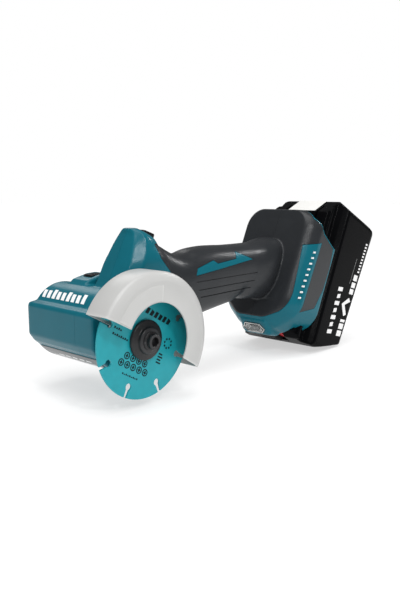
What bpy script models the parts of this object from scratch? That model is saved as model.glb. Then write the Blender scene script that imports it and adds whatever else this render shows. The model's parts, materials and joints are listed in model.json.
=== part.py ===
"""Compact cordless cut-off saw, modelled as separate parts on their joints.

Run with: blender --background --python part.py

Lengths are written in millimetres from the centre of the cutting disc (+X towards the
battery, -Y out of the disc's face, +Z up) and turned into metres by place(). The battery
and its holder have a frame of their own, tilted back, reached by on_pack(s, y, h):
s goes out through the battery's base, h goes up along the battery.
"""
import math

import bpy
from mathutils import Matrix, Vector

# ---------------------------------------------------------------- driving dimensions (mm)
DISC_CENTRE = (-120.49, -38.0, 43.22)   # where the disc's centre stands in the part's frame
CLEAR = 0.3                             # gap between pieces that touch
RUBBER = 2.0                            # thickness of the grip's rubber
WALL = 2.5                              # housing wall

DISC_RADIUS, DISC_THICKNESS, BORE = 38.0, 1.2, 10.0
GUARD_RADIUS, GUARD_WALL, GUARD_WINDOW = 44.0, 1.5, 25.0
GUARD_FRONT, GUARD_BACK = -14.0, 8.0    # along y
GUARD_START, GUARD_END = -32.0, 152.0   # degrees, anticlockwise from +X
MID_Y = 34.0                            # the parting plane of the two housing halves
NEAR_Y = 15.6                           # the housing's face behind the disc
BARREL_RADIUS, BARREL_LIFT, BARREL_END = 25.0, 1.5, 90.0
BARREL_RISE = 2.5                       # how far the upper arc's centre stands above the lower one's
PACK_ORIGIN, PACK_TILT = (212.9, 21.4), math.radians(24.7)
PACK_LENGTH, PACK_WIDTH = 113.0, 75.0   # the battery's side face and its width
PACK_BASE, PACK_TOP = 46.0, -19.0       # along s: outer base, top of the rails
PACK_SPLIT = 3.0                        # where the two halves of the battery's case meet
PACK_TAPER = 0.00176                    # how much thicker the battery gets per mm upwards
HOLDER_FRONT, HOLDER_BACK = -45.0, -6.5

TEAL, TEAL_BRIGHT = (0.012, 0.145, 0.195), (0.02, 0.36, 0.40)
BLACK, RUBBER_GREY, GLOSS_BLACK = (0.02, 0.021, 0.023), (0.035, 0.037, 0.042), (0.008, 0.008, 0.009)
STEEL, GUARD_GREY, COPPER = (0.55, 0.55, 0.56), (0.56, 0.56, 0.54), (0.72, 0.34, 0.18)
WHITE, RED, GREEN, CLEAR_GLASS = (0.8, 0.8, 0.78), (0.5, 0.02, 0.02), (0.05, 0.3, 0.12), (0.75, 0.8, 0.82)


# ---------------------------------------------------------------- placing
def place(point):
    """A point in mm from the disc's centre, in metres in the part's frame."""
    return Vector([(a + b) * 0.001 for a, b in zip(point, DISC_CENTRE)])


def on_pack(s, y, h):
    """A point given along the battery's own axes, in mm from the disc's centre."""
    c, n = math.cos(PACK_TILT), math.sin(PACK_TILT)
    return (PACK_ORIGIN[0] + s * c + h * n, y, PACK_ORIGIN[1] - s * n + h * c)


def in_xz(a, b, y):
    return (a, y, b)


def in_xy(a, b, z):
    return (a, b, z)


def in_sh(s, h, y):
    return on_pack(s, y, h)


def in_yh(y, h, s):
    return on_pack(s, y, h)


def in_ys(y, s, h):
    return on_pack(s, y, h)


def in_sy(s, y, h):
    return on_pack(s, y, h)


def tapered(s, h):
    """The battery's block is thicker at its upper end: s there, stretched."""
    return s * (1 + PACK_TAPER * h) if s > 0 else s


def block_ys(y, s, h):
    return on_pack(tapered(s, h), y, h)


def block_yh(y, h, s):
    return on_pack(tapered(s, h), y, h)


# ---------------------------------------------------------------- outlines
def arc(cx, cy, radius, start, end, steps):
    """Points on an arc, angles in degrees, both ends included."""
    angles = [math.radians(start + (end - start) * i / steps) for i in range(steps + 1)]
    return [(cx + radius * math.cos(a), cy + radius * math.sin(a)) for a in angles]


def circle(cx, cy, radius, steps=24):
    return arc(cx, cy, radius, 0, 360, steps)[:-1]


def rounded(corners, steps=3):
    """Corners given as (a, b, radius), each cut to an arc that is tangent to both sides."""
    points = []
    count = len(corners)
    for i, (a, b, radius) in enumerate(corners):
        if radius <= 0:
            points.append((a, b))
            continue
        corner = Vector((a, b))
        back = (Vector(corners[i - 1][:2]) - corner).normalized()
        ahead = (Vector(corners[(i + 1) % count][:2]) - corner).normalized()
        half = back.angle(ahead) / 2
        reach = radius / math.tan(half)
        centre = corner + (back + ahead).normalized() * radius / math.sin(half)
        first = corner + back * reach - centre
        turn = first.angle_signed(corner + ahead * reach - centre)
        for k in range(steps + 1):
            spoke = first.copy()
            spoke.rotate(Matrix.Rotation(-turn * k / steps, 2))
            points.append(tuple(centre + spoke))
    return points


def box_outline(a0, b0, a1, b1, radius=0.0, steps=3):
    return rounded([(a0, b0, radius), (a1, b0, radius), (a1, b1, radius), (a0, b1, radius)], steps)


def inset(outline, distance):
    """The outline with every side moved inwards by the same distance."""
    count = len(outline)
    area = sum(outline[i - 1][0] * outline[i][1] - outline[i][0] * outline[i - 1][1] for i in range(count))
    inwards = 1 if area > 0 else -1
    result = []
    for i in range(count):
        p, q, r = (Vector(outline[(i + k) % count]) for k in (-1, 0, 1))
        before, after = (q - p).normalized(), (r - q).normalized()
        normal = (before.orthogonal() + after.orthogonal()) * inwards
        scale = 2 * distance / max(normal.length_squared, 0.5)
        result.append(tuple(q + normal * scale))
    return result


def oval(cy, cz, half_width, half_height, power=2.6, steps=20):
    """A rounded-rectangle-like oval as (y, z) points."""
    points = []
    for i in range(steps):
        a = 2 * math.pi * (i + 0.5) / steps
        c, n = math.cos(a), math.sin(a)
        points.append((cy + half_width * math.copysign(abs(c) ** (2 / power), c),
                       cz + half_height * math.copysign(abs(n) ** (2 / power), n)))
    return points


# ---------------------------------------------------------------- bodies, finishes, meshes
BODIES = {}
FINISHES = {}


def body(name, point):
    """An empty on a moving body's joint axis; its pieces are parented to it."""
    empty = bpy.data.objects.new(name + "_axis", None)
    empty.location = place(point)
    bpy.context.scene.collection.objects.link(empty)
    BODIES[name] = empty


def finish_of(name, colour, roughness, metallic=0.0):
    material = bpy.data.materials.new(name)
    material.use_nodes = True
    shader = material.node_tree.nodes["Principled BSDF"]
    shader.inputs["Base Color"].default_value = (*colour, 1.0)
    shader.inputs["Roughness"].default_value = roughness
    shader.inputs["Metallic"].default_value = metallic
    return material


def make(name, points, faces, finish, owner=None):
    """A mesh object from points in mm; smooth where its faces meet gently."""
    parent = BODIES.get(owner)
    origin = parent.location if parent else place((0, 0, 0))
    mesh = bpy.data.meshes.new(name)
    mesh.from_pydata([place(p) - origin for p in points], [], faces)
    colour, roughness, metallic = finish
    mesh.materials.append(finish_of(name + "_finish", colour, roughness, metallic))
    face_outwards(mesh)
    mesh.shade_smooth()
    mesh.set_sharp_from_angle(angle=math.radians(35))
    item = bpy.data.objects.new(name, mesh)
    bpy.context.scene.collection.objects.link(item)
    if parent:
        item.parent = parent
    else:
        item.location = origin
    return item


def face_outwards(mesh):
    """Turn every face outwards, by the sign of the volume that they enclose."""
    volume = 0.0
    for polygon in mesh.polygons:
        corners = [mesh.vertices[i].co for i in polygon.vertices]
        for k in range(1, len(corners) - 1):
            volume += corners[0].dot(corners[k].cross(corners[k + 1]))
    if volume < 0:
        mesh.flip_normals()


def loft(name, rings, finish, owner=None):
    """A closed solid through rings of equal point count, flat at both ends."""
    count = len(rings[0])
    points = [p for ring in rings for p in ring]
    faces = [list(range(count))[::-1], list(range(count * (len(rings) - 1), count * len(rings)))]
    for k in range(len(rings) - 1):
        low, high = k * count, (k + 1) * count
        for i in range(count):
            j = (i + 1) % count
            faces.append([low + i, low + j, high + j, high + i])
    return make(name, points, faces, finish, owner)


def slab(name, outline, lo, hi, plane, finish, owner=None, edge=0.0):
    """An outline pushed along its plane's normal, with its end edges eased if asked."""
    levels = [(lo, 0.0), (hi, 0.0)]
    if edge:
        step = math.copysign(edge, hi - lo)
        levels = [(lo, edge), (lo + step, 0.0), (hi - step, 0.0), (hi, edge)]
    rings = [[plane(a, b, level) for a, b in inset(outline, d)] for level, d in levels]
    return loft(name, rings, finish, owner)


def turned(name, profile, finish, owner=None, centre=(0.0, 0.0), steps=24, start=0.0, end=360.0):
    """A profile of (radius, y) turned about a line along Y; radius 0 closes on the axis."""
    whole = end - start >= 360.0
    spokes = steps if whole else steps + 1
    points, index = [], {}
    for k in range(spokes):
        a = math.radians(start + (end - start) * k / steps)
        for i, (radius, y) in enumerate(profile):
            if radius == 0.0 and k > 0:
                index[k, i] = index[0, i]
                continue
            index[k, i] = len(points)
            points.append((centre[0] + radius * math.cos(a), y, centre[1] + radius * math.sin(a)))
    faces = []
    for k in range(steps):
        n = (k + 1) % spokes
        for i in range(len(profile)):
            j = (i + 1) % len(profile)
            corners = [index[k, i], index[k, j], index[n, j], index[n, i]]
            unique = list(dict.fromkeys(corners))
            if len(unique) > 2:
                faces.append(unique)
    if not whole:
        last = len(profile)
        faces.append([index[0, i] for i in range(last)][::-1])
        faces.append([index[steps, i] for i in range(last)])
    return make(name, points, faces, finish, owner)


def rod(name, a, b, radius, finish, owner=None, steps=16):
    """A round bar between two points."""
    a, b = Vector(a), Vector(b)
    axis = (b - a).normalized()
    side = axis.orthogonal().normalized()
    up = axis.cross(side)
    rings = []
    for end in (a, b):
        ring = []
        for i in range(steps):
            t = 2 * math.pi * i / steps
            ring.append(tuple(end + (side * math.cos(t) + up * math.sin(t)) * radius))
        rings.append(ring)
    return loft(name, rings, finish, owner)


def spring(name, a, b, radius, wire, turns, owner=None):
    """A coil spring between two points, its wire six-sided."""
    a, b = Vector(a), Vector(b)
    axis = (b - a).normalized()
    side = axis.orthogonal().normalized()
    up = axis.cross(side)
    per_turn = 10
    rings = []
    for k in range(turns * per_turn + 1):
        t = 2 * math.pi * k / per_turn
        spoke = side * math.cos(t) + up * math.sin(t)
        centre = a + (b - a) * (k / (turns * per_turn)) + spoke * radius
        ring = [centre + (spoke * math.cos(w) + axis * math.sin(w)) * wire
                for w in (math.pi * i / 3 for i in range(6))]
        rings.append([tuple(p) for p in ring])
    return loft(name, rings, (STEEL, 0.35, 1.0), owner)


def combine(item, tools, operation):
    """Boolean modifiers on an object; the tools stay as hidden wire guides."""
    for tool in tools:
        modifier = item.modifiers.new(operation.lower(), "BOOLEAN")
        modifier.operation = operation
        modifier.object = tool
        tool.hide_render = True
        tool.display_type = "WIRE"
    return item


def cut(item, *tools):
    return combine(item, tools, "DIFFERENCE")


def join(item, *tools):
    return combine(item, tools, "UNION")


def keep(item, *tools):
    return combine(item, tools, "INTERSECT")


GUIDE = (STEEL, 0.5, 0.0)


# ---------------------------------------------------------------- outer shape of the tool
def barrel_outline():
    """The motor barrel seen from the disc: a tall round with a flat bumper at the front."""
    top = arc(0, BARREL_LIFT + BARREL_RISE, BARREL_RADIUS, 140.5, 0, 14)
    bottom = arc(0, BARREL_LIFT, BARREL_RADIUS, 0, -144, 14)
    bumper = [(-21.2, -13.0), (-24.6, -9.4), (-28.0, -4.5), (-28.0, 15.2), (-27.2, 17.2), (-20.8, 18.3)]
    return top + bottom + bumper


def barrel(name, shrink, finish=GUIDE):
    """The barrel pulled in by shrink, its far end rounded."""
    near = NEAR_Y + shrink
    far = BARREL_END - shrink
    levels = [(near, 0.6), (near + 0.6, 0.0), (far - 4.0, 0.0), (far - 1.2, 1.2), (far, 4.0)]
    rings = []
    for y, d in levels:
        size = 1.0 - (shrink + d) / BARREL_RADIUS
        rings.append([in_xz(a * size, BARREL_LIFT + (b - BARREL_LIFT) * size, y) for a, b in barrel_outline()])
    return loft(name, rings, finish)


NECK_LEVELS = (
    # z, back x, half width, front corners' x and y, back corners' x and y
    (-6.0, 50.0, 17.6, 5.0, 2.0, 12.0, 6.0),
    (20.0, 50.0, 18.0, 6.0, 3.0, 14.0, 8.0),
    (33.0, 48.0, 18.0, 8.0, 4.0, 14.0, 9.0),
    (45.0, 45.0, 17.6, 8.5, 4.5, 15.0, 11.0),
    (50.0, 42.4, 16.8, 8.5, 5.0, 16.0, 12.0),
    (55.0, 38.8, 15.6, 8.5, 5.0, 16.5, 12.6),
    (60.0, 35.2, 14.0, 7.0, 5.0, 14.0, 11.6),
    (63.6, 29.6, 11.8, 5.5, 4.5, 10.5, 9.6),
    (66.0, 25.2, 8.8, 4.0, 3.5, 7.0, 7.0),
    (67.5, 22.6, 5.4, 2.5, 2.0, 3.8, 4.0),
)


def neck_front(z):
    """How far forward the sloping front of the neck comes at a height."""
    return 1.5 + (min(max(z, 20.0), 64.5) - 33.0) / 2.11


def neck(name, shrink, finish=GUIDE):
    """The tall neck between the barrel and the handle, its back rounded."""
    levels = NECK_LEVELS if shrink < RUBBER + WALL else NECK_LEVELS[:6]
    rings = []
    for z, back, half, cx, cy, bx, by in levels:
        front = neck_front(z) + shrink * 1.1
        back, half = back - shrink, half - shrink
        cx, cy, bow = min(cx, 0.35 * (back - front)), min(cy, 0.5 * half), 0.07 * half
        bx, by = min(bx, 0.6 * (back - front)), min(by, 0.9 * half)
        turn = [(back - bx + bx * math.sin(a), half - by + by * math.cos(a))
                for a in (math.pi / 2 * k / 3 for k in range(4))]
        outline = [(front, MID_Y + half - cy), (front - bow, MID_Y), (front, MID_Y - half + cy),
                   (front + cx, MID_Y - half), *[(a, MID_Y - b) for a, b in turn],
                   *[(a, MID_Y + b) for a, b in reversed(turn)], (front + cx, MID_Y + half)]
        drop = shrink if z > 0 else -shrink
        rings.append([in_xy(a, b, z - drop) for a, b in outline])
    return loft(name, rings, finish)


HANDLE_SECTIONS = (
    # x, top z, bottom z, half width
    (40.0, 55.5, -4.5, 16.6),
    (48.0, 51.2, -3.4, 16.8),
    (56.0, 48.0, -2.2, 17.2),
    (64.0, 48.0, -1.0, 17.4),
    (74.0, 50.3, 0.6, 17.6),
    (88.0, 51.4, 2.8, 18.0),
    (102.0, 51.2, 4.8, 18.0),
    (114.0, 50.7, 6.6, 17.8),
)
DOME_SECTIONS = (
    # s, top h, bottom h, half width
    (-80.0, -4.6, -49.5, 17.8),
    (-70.0, 0.5, -48.0, 18.4),
    (-60.0, 7.6, -44.5, 18.6),
    (-53.0, 11.2, -42.0, 18.0),
    (-46.0, 12.4, -40.0, 15.6),
    (-38.0, 12.4, -40.0, 14.0),
)


def handle(name, shrink, finish=GUIDE):
    """The handle, swelling into a dome where it meets the battery holder."""
    rings = []
    start = HANDLE_SECTIONS[0][0] + min(shrink, 3 * RUBBER - shrink)
    for x, top, bottom, half in HANDLE_SECTIONS:
        x = max(x, start)
        ring = oval(MID_Y, (top + bottom) / 2, half - shrink, (top - bottom) / 2 - shrink)
        rings.append([(x, y, z) for y, z in ring])
    for s, top, bottom, half in DOME_SECTIONS:
        ring = oval(MID_Y, (top + bottom) / 2, half - shrink, (top - bottom) / 2 - shrink)
        rings.append([on_pack(s, y, h) for y, h in ring])
    return loft(name, rings, finish)


def holder_outline():
    """The battery holder seen along s: square shoulders on top, a bowl below."""
    half = PACK_WIDTH / 2
    return rounded([(MID_Y - half, 42.5, 17.0), (MID_Y - half, -46.0, 20.0), (MID_Y - 17.0, -61.0, 14.0),
                    (MID_Y + 17.0, -61.0, 14.0), (MID_Y + half, -46.0, 20.0), (MID_Y + half, 42.5, 17.0)], 4)


HOLDER_EASE = ((0.0, 8.2), (2.6, 4.9), (7.0, 1.9), (12.0, 0.0))     # s from the front, inset


def holder(name, shrink, back=HOLDER_BACK):
    """The block that holds the battery: a wide soft edge round a roof-shaped front."""
    outline = inset(holder_outline(), shrink)
    front = HOLDER_FRONT + shrink
    rings = []
    for step, d in HOLDER_EASE + ((back - front, 0.0),):
        rings.append([in_yh(*eased(a, b, d), front + step) for a, b in outline])
    roof = [(MID_Y - 21.0, front), (MID_Y, front - 1.5), (MID_Y + 21.0, front), (MID_Y, front + 3.0)]
    return join(loft(name, rings, GUIDE), slab(name + "_roof", roof, -38.0, 31.0, in_ys, GUIDE))


def notch(name):
    """The upper back corner of the holder, open where the battery's shoulder shows."""
    return slab(name, HOLDER_CUT, -60.0, 120.0, in_sh, GUIDE)


def eased(y, h, d):
    """A point of the holder's outline drawn in by about d, less on the far side and on top."""
    across, down = 1 - d / (PACK_WIDTH / 2), 1 - (0.35 if h > 0 else 0.6) * d / 42.5
    return MID_Y + (y - MID_Y) * across + 0.25 * d, h * down


HOLDER_CUT = ((-38.6, 60.0), (-38.6, 35.8), (-34.0, 33.4), (-28.4, 26.4), (-9.4, 20.6), (8.0, 20.2), (8.0, 60.0))


def chin(name):
    """The bulge below the holder that carries the work lamp."""
    outline = rounded([(-41.6, -50.0, 0), (-42.8, -58.4, 3), (-31.0, -66.6, 4), (-20.0, -64.4, 8),
                       (-8.0, -56.0, 0), (-10.0, -50.0, 0)])
    return slab(name, outline, MID_Y - 15, MID_Y + 15, in_sh, GUIDE, edge=1.6)


def half_space(name, side, gap=CLEAR / 2):
    """A block over everything on one side of the parting plane."""
    reach = 80.0
    lo, hi = (MID_Y - reach, MID_Y - gap) if side == "near" else (MID_Y + gap, MID_Y + reach)
    return slab(name, box_outline(-60, -90, 320, 110), lo, hi, in_xz, GUIDE)


def rubber_zone(name, gap=0.0):
    """Where the rubber covers the tool: handle, dome, and the holder's front and cheeks."""
    g = gap
    lo, hi = MID_Y - 60.0, MID_Y + 60.0
    grip = [(28.2 + g, 57.2 - g), (30.6 + g, 51.0), (31.4 + g, 47.5), (34.4 + g, 43.8), (42.4 + g, 36.0),
            (42.4 + g, -30.0), (140.0, -30.0), (140.0, 62.0), (60.0, 62.0), (54.0, 57.2 - g)]
    front = [(-90.0, 60.0), (-90.0, -57.0 + g), (-45.0, -57.0 + g), (-42.6 - g, -48.0 + g), (-41.4 - g, -30.0),
             (-43.2 - g, 10.0 + g), (-28.6 + g, 17.6 + g), (-31.4 + g, -43.6 + g), (-14.0 - g, -34.6 + g),
             (-8.8 - g, -17.0), (-7.8 - g, 3.0), (-10.0 - g, 19.4 - g), (-29.0, 25.2 - g), (-34.8, 32.3 - g),
             (-39.6 - g, 34.4 - g), (-39.9 - g, 60.0)]
    return join(slab(name, grip, lo, hi, in_xz, GUIDE), slab(name + "_back", front, lo - 1, hi + 1, in_sh, GUIDE))


# accent: the strip of housing colour let into the grip on each side
ACCENT = ((66.0, 32.6), (68.2, 37.4), (85.0, 41.9), (89.0, 39.3), (110.6, 41.2), (112.6, 46.4), (129.5, 39.6))


def accent(name, side, grow):
    middle = MID_Y - 15.5 if side == "near" else MID_Y + 15.5
    return slab(name, inset(ACCENT, -grow), middle - 3.5 - grow, middle + 3.5 + grow, in_xz, GUIDE)


# housing screws: x, z, and how far the walls and the sunk head are from the parting plane
BODY_SCREWS = ((25.0, 46.0, 15.4, 9.5), (36.0, 12.0, 15.4, 9.5), (60.0, 38.0, 9.0, 6.0), (104.0, 17.0, 11.5, 9.0))
HOLDER_SCREWS = ((-33.5, 22.0), (-32.5, -44.0))     # s, h
SCREWS = BODY_SCREWS + tuple((*on_pack(s, 0, h)[::2], 30.0, 24.0) for s, h in HOLDER_SCREWS)


def housing(side):
    """One half of the housing: barrel, neck, handle core and battery holder in one shell."""
    n = "housing_" + side
    skin = RUBBER + CLEAR
    shell = barrel(n, 0.0, (TEAL, 0.45, 0.0))
    covered = cut(neck(n + "_neck", 0.0), rubber_zone(n + "_zone"))
    core = join(handle(n + "_core", skin), neck(n + "_inner_neck", skin))
    block = cut(holder(n + "_holder", 0.0), rubber_zone(n + "_zone2"))
    join(shell, covered, core, holder(n + "_under", skin, HOLDER_BACK - 0.6), block, chin(n + "_chin"))
    if side == "far":
        join(shell, ledge(n + "_ledge"))
    strip = keep(accent(n + "_accent", side, 0.0), handle(n + "_flush", 0.0))
    join(shell, strip)
    cut(shell, notch(n + "_notch"), barrel(n + "_barrel_room", WALL), neck_room(n + "_neck_room"),
        handle(n + "_handle_room", skin + WALL), holder_room(n + "_holder_room"))
    join(shell, *bosses(n, side))
    cut(shell, *openings(n, side))
    return keep(shell, half_space(n + "_side", side))


def neck_room(name):
    return neck(name, RUBBER + CLEAR + WALL)


def holder_room(name):
    """The space for the controller inside the battery holder."""
    return slab(name, box_outline(MID_Y - 26.0, -50.0, MID_Y + 26.0, 19.0, 8.0), HOLDER_FRONT + 5.4, -26.0, in_yh,
                GUIDE)


def ledge(name):
    """The raised pocket on top of the barrel that holds the shaft-lock button."""
    outline = rounded([(-6.0, 20.0, 0), (-5.4, 27.8, 2.0), (0.0, 32.1, 2.5), (12.0, 34.9, 3.0), (22.0, 35.2, 3.0),
                       (22.0, 10.0, 0)])
    return slab(name, outline, 55.0, 73.6, in_xz, GUIDE, edge=1.2)


def bosses(n, side):
    """Screw pillars, and the seat of the rear bearing."""
    items = []
    for k, (x, z, wall, _) in enumerate(SCREWS):
        lo, hi = (MID_Y - wall, MID_Y + 1) if side == "near" else (MID_Y - 1, MID_Y + wall)
        items.append(rod(f"{n}_boss{k}", (x, lo, z), (x, hi, z), 4.6, GUIDE, steps=12))
    if side == "far":
        cup = [(9.9, 79.0), (13.0, 79.0), (13.0, 88.6), (9.9, 88.6)]
        items.append(turned(n + "_cup", cup, GUIDE))
    return items


def openings(n, side):
    """Everything let into the housing after its shell is made."""
    items = []
    for k, (x, z, _, seat) in enumerate(SCREWS):
        items.append(rod(f"{n}_hole{k}", (x, MID_Y - 9, z), (x, MID_Y + seat + 2, z), 1.9, GUIDE, steps=12))
        if side == "far":
            items.append(rod(f"{n}_sink{k}", (x, MID_Y + seat, z), (x, MID_Y + 45, z), 3.4, GUIDE, steps=12))
    if side == "near":
        items.append(rod(n + "_nose", (0, 0, 0), (0, 20, 0), 14.9, GUIDE, steps=32))
    else:
        for k in range(-3, 4):
            slot = box_outline(k * 5.2 - 1.3, -14 + abs(k) * 1.6, k * 5.2 + 1.3, 17 - abs(k) * 1.6, 1.2)
            if abs(k) > 1:
                items.append(slab(f"{n}_vent{k}", slot, 85.0, 95.0, in_xz, GUIDE))
        items.append(slab(n + "_button_hole", box_outline(5.4, 59.0, 17.2, 69.6, 2.0), 23.4, 45, in_xy, GUIDE))
        items.append(slab(n + "_button_room", box_outline(-2.4, 59.0, 7.6, 69.6), 20.4, 27.9, in_xy, GUIDE))
    items.append(slab(n + "_trigger_hole", box_outline(48.6, 25.4, 83.4, 42.6, 2.0), -12.0, 14.0, in_xy, GUIDE))
    items.append(slab(n + "_lock_hole", button_outline(0.5), 56.0, 76.0, along_slope, GUIDE))
    items.append(slab(n + "_pocket", pocket_outline(), -90.0, 60.0, in_ys, GUIDE))
    items.append(slab(n + "_terminal_hole", terminal_outline(0.4), -27.0, -15.0, in_yh, GUIDE))
    items.append(slab(n + "_lens_hole", lens_outline(0.3), 3.0, 12.5, on_lamp, GUIDE))
    return items


# ---------------------------------------------------------------- the battery's rails and its pocket
def rails(gap):
    """Half the rails' section as (half width, s), from the block up, grown by a gap."""
    return [(27.4 + gap, -5.8), (27.4 + gap, -11.8 + gap), (30.2 + gap, -11.8 + gap),
            (30.2 + gap, -15.8 - gap), (26.4 + gap, -16.8 - gap), (25.9 + gap, PACK_TOP - gap)]


def mirrored(half_outline):
    """A closed section from one half of it, mirrored about the parting plane."""
    left = [(MID_Y - a, b) for a, b in half_outline]
    return left + [(MID_Y + a, b) for a, b in reversed(half_outline)]


def pocket_outline():
    """The slot in the holder: the rails' own section with room round it, open along h."""
    side = rails(0.5)
    side[0] = (side[0][0], 2.0)
    return mirrored(side)


def pack_outline():
    """The battery's section across h: block below, shoulder, neck and rails on top."""
    half = PACK_WIDTH / 2
    block = [(half - 5.0, PACK_BASE), (half - 1.4, PACK_BASE - 1.5), (half, PACK_BASE - 5.0), (half, 1.0),
             (half - 0.8, -0.8), (32.4, -3.6)]
    return mirrored(block + rails(0.0))


def terminal_outline(gap=0.0):
    return box_outline(MID_Y - 21.5 - gap, -8.0 - gap, MID_Y + 21.5 + gap, 18.0 + gap, 1.5)


def pack_side():
    """The battery's section across y, used to shape both its ends."""
    return rounded([(42.3, -50.6, 8.0), (4.0, -63.8, 6.0), (-12.0, -62.0, 3.0), (PACK_TOP - 1, -56.0, 0),
                    (PACK_TOP - 1, 48.6, 0), (PACK_TOP + 0.2, 49.6, 0), (-2.8, 67.0, 2.0), (4.0, 66.6, 3.0),
                    (51.0, 58.8, 12.0)], 4)


def pack_plan():
    """The battery's outline seen along s, its upright corners rounded and its top ones cut."""
    half = PACK_WIDTH / 2
    return rounded([(MID_Y - half, -64.4, 6.0), (MID_Y + half, -64.4, 6.0), (MID_Y + half, 59.6, 3.5),
                    (MID_Y + half - 13.0, 67.4, 8.0), (MID_Y - half + 13.0, 67.4, 8.0), (MID_Y - half, 59.6, 3.5)], 3)


def pack_solid(name, lo, hi):
    """The battery's outer shape between two heights along s."""
    item = slab(name, pack_outline(), -75.0, 75.0, block_ys, (BLACK, 0.3, 0.0), "battery")
    side = slab(name + "_ends", pack_side(), -10.0, 80.0, in_sh, GUIDE, "battery")
    plan = slab(name + "_plan", pack_plan(), lo, hi, in_yh, GUIDE, "battery")
    return keep(item, side, plan)


# ---------------------------------------------------------------- places of the small controls
SLOPE = math.radians(20.0)              # how far the neck's back leans


def along_slope(a, y, d):
    """A point on the sloping top of the neck: a down the slope, d out of it from 66 mm below."""
    base = (32.4, 62.0)
    d = d - 66.0
    return (base[0] + a * math.cos(SLOPE) + d * math.sin(SLOPE), y,
            base[1] - a * math.sin(SLOPE) + d * math.cos(SLOPE))


def button_outline(gap=0.0):
    return box_outline(-5.5 - gap, MID_Y - 4.5 - gap, 5.5 + gap, MID_Y + 4.5 + gap, 2.0)


LAMP_TILT = math.radians(35.0)


def on_lamp(a, y, d):
    """A point on the lamp's face: a along the face, d inwards from 6 mm outside it."""
    s = -36.5 + a * math.cos(LAMP_TILT) + (d - 6.0) * math.sin(LAMP_TILT)
    h = -62.4 - a * math.sin(LAMP_TILT) + (d - 6.0) * math.cos(LAMP_TILT)
    return on_pack(s, y, h)


def lens_outline(gap=0.0):
    """The lamp's six-sided outline."""
    narrow, wide, a = 7.6 + gap, 11.2 + gap, 4.9 + gap
    return rounded([(-a, MID_Y - narrow, 1), (0.6, MID_Y - wide, 1), (a, MID_Y - narrow, 1),
                    (a, MID_Y + narrow, 1), (0.6, MID_Y + wide, 1), (-a, MID_Y + narrow, 1)])


# ---------------------------------------------------------------- pieces of the tool
def clear_scene():
    for item in list(bpy.data.objects):
        bpy.data.objects.remove(item, do_unlink=True)


def make_bodies():
    body("spindle", (0.0, 0.0, 0.0))
    body("guard", (0.0, 0.0, 0.0))
    body("trigger", (66.0, MID_Y, 2.0))
    body("lock_off", (32.4, MID_Y, 62.0))
    body("shaft_lock", (9.0, 64.0, 35.0))
    body("battery", on_pack(0.0, MID_Y, 0.0))
    body("latch", on_pack(PACK_TOP + 8.0, MID_Y, -60.0))
    body("gauge", on_pack(23.0, MID_Y, -57.0))


def make_grip(side):
    """The rubber of one half: over the handle, the dome and the holder's front and cheeks."""
    n = "grip_" + side
    skin = handle(n, 0.0, (RUBBER_GREY, 0.75, 0.0))
    join(skin, neck(n + "_neck", 0.0), holder(n + "_holder", 0.0))
    keep(skin, rubber_zone(n + "_zone", CLEAR))
    cut(skin, handle(n + "_core", RUBBER), neck(n + "_inner_neck", RUBBER),
        holder(n + "_inner_holder", RUBBER, HOLDER_BACK + 1.0), accent(n + "_window", side, CLEAR))
    cut(skin, notch(n + "_notch"), *grip_openings(n, side))
    return keep(skin, half_space(n + "_side", side))


def grip_openings(n, side):
    items = [slab(n + "_trigger_hole", box_outline(48.6, 25.4, 83.4, 42.6, 2.0), -12.0, 14.0, in_xy, GUIDE),
             slab(n + "_pocket", pocket_outline(), -90.0, 60.0, in_ys, GUIDE),
             slab(n + "_lock_hole", button_outline(0.6), 54.0, 76.0, along_slope, GUIDE)]
    if side == "far":
        for k, (x, z, _, _) in enumerate(SCREWS[2:]):
            items.append(rod(f"{n}_sink{k}", (x, MID_Y + 6, z), (x, MID_Y + 45, z), 3.8, GUIDE, steps=12))
    return items


def make_screws():
    steel = (STEEL, 0.3, 1.0)
    for k, (x, z, _, seat) in enumerate(SCREWS):
        y = MID_Y + seat + CLEAR
        shank = rod(f"housing_screw_{k + 1}", (x, MID_Y - 8, z), (x, y + 0.5, z), 1.55, steel, steps=10)
        head = rod(f"screw_head_{k + 1}", (x, y, z), (x, y + 2.2, z), 3.0, GUIDE, steps=12)
        socket = rod(f"screw_socket_{k + 1}", (x, y + 1.0, z), (x, y + 3.0, z), 1.4, GUIDE, steps=6)
        cut(join(shank, head), socket)


def make_bearing_box():
    """The metal nose that holds the front bearing and carries the guard."""
    profile = [(9.9, 5.4), (14.2, 5.4), (14.2, 19.0), (20.3, 19.0), (20.3, 22.0), (9.9, 22.0),
               (9.9, 14.4), (7.0, 14.4), (7.0, 12.9), (9.9, 12.9)]
    turned("bearing_box", profile, (STEEL, 0.45, 1.0), steps=24)


def make_bearings():
    steel = (STEEL, 0.2, 1.0)
    ring = [(4.9, 0.0), (9.6, 0.0), (9.6, 5.0), (4.9, 5.0)]
    turned("front_bearing", [(r, y + 15.0) for r, y in ring], steel)
    turned("rear_bearing", [(r, y + 80.2) for r, y in ring], steel)


TEETH = 6


def toothed(inner, bore, tooth, steps=4):
    """The opening inside a stator: its bore, and the slots between its teeth."""
    points = []
    for k in range(TEETH):
        centre = 360.0 / TEETH * k
        points += arc(0, 0, bore, centre - tooth, centre + tooth, 2)
        nxt = centre + 360.0 / TEETH
        points += arc(0, 0, inner, centre + tooth * 0.55, nxt - tooth * 0.55, steps)
    return points


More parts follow.
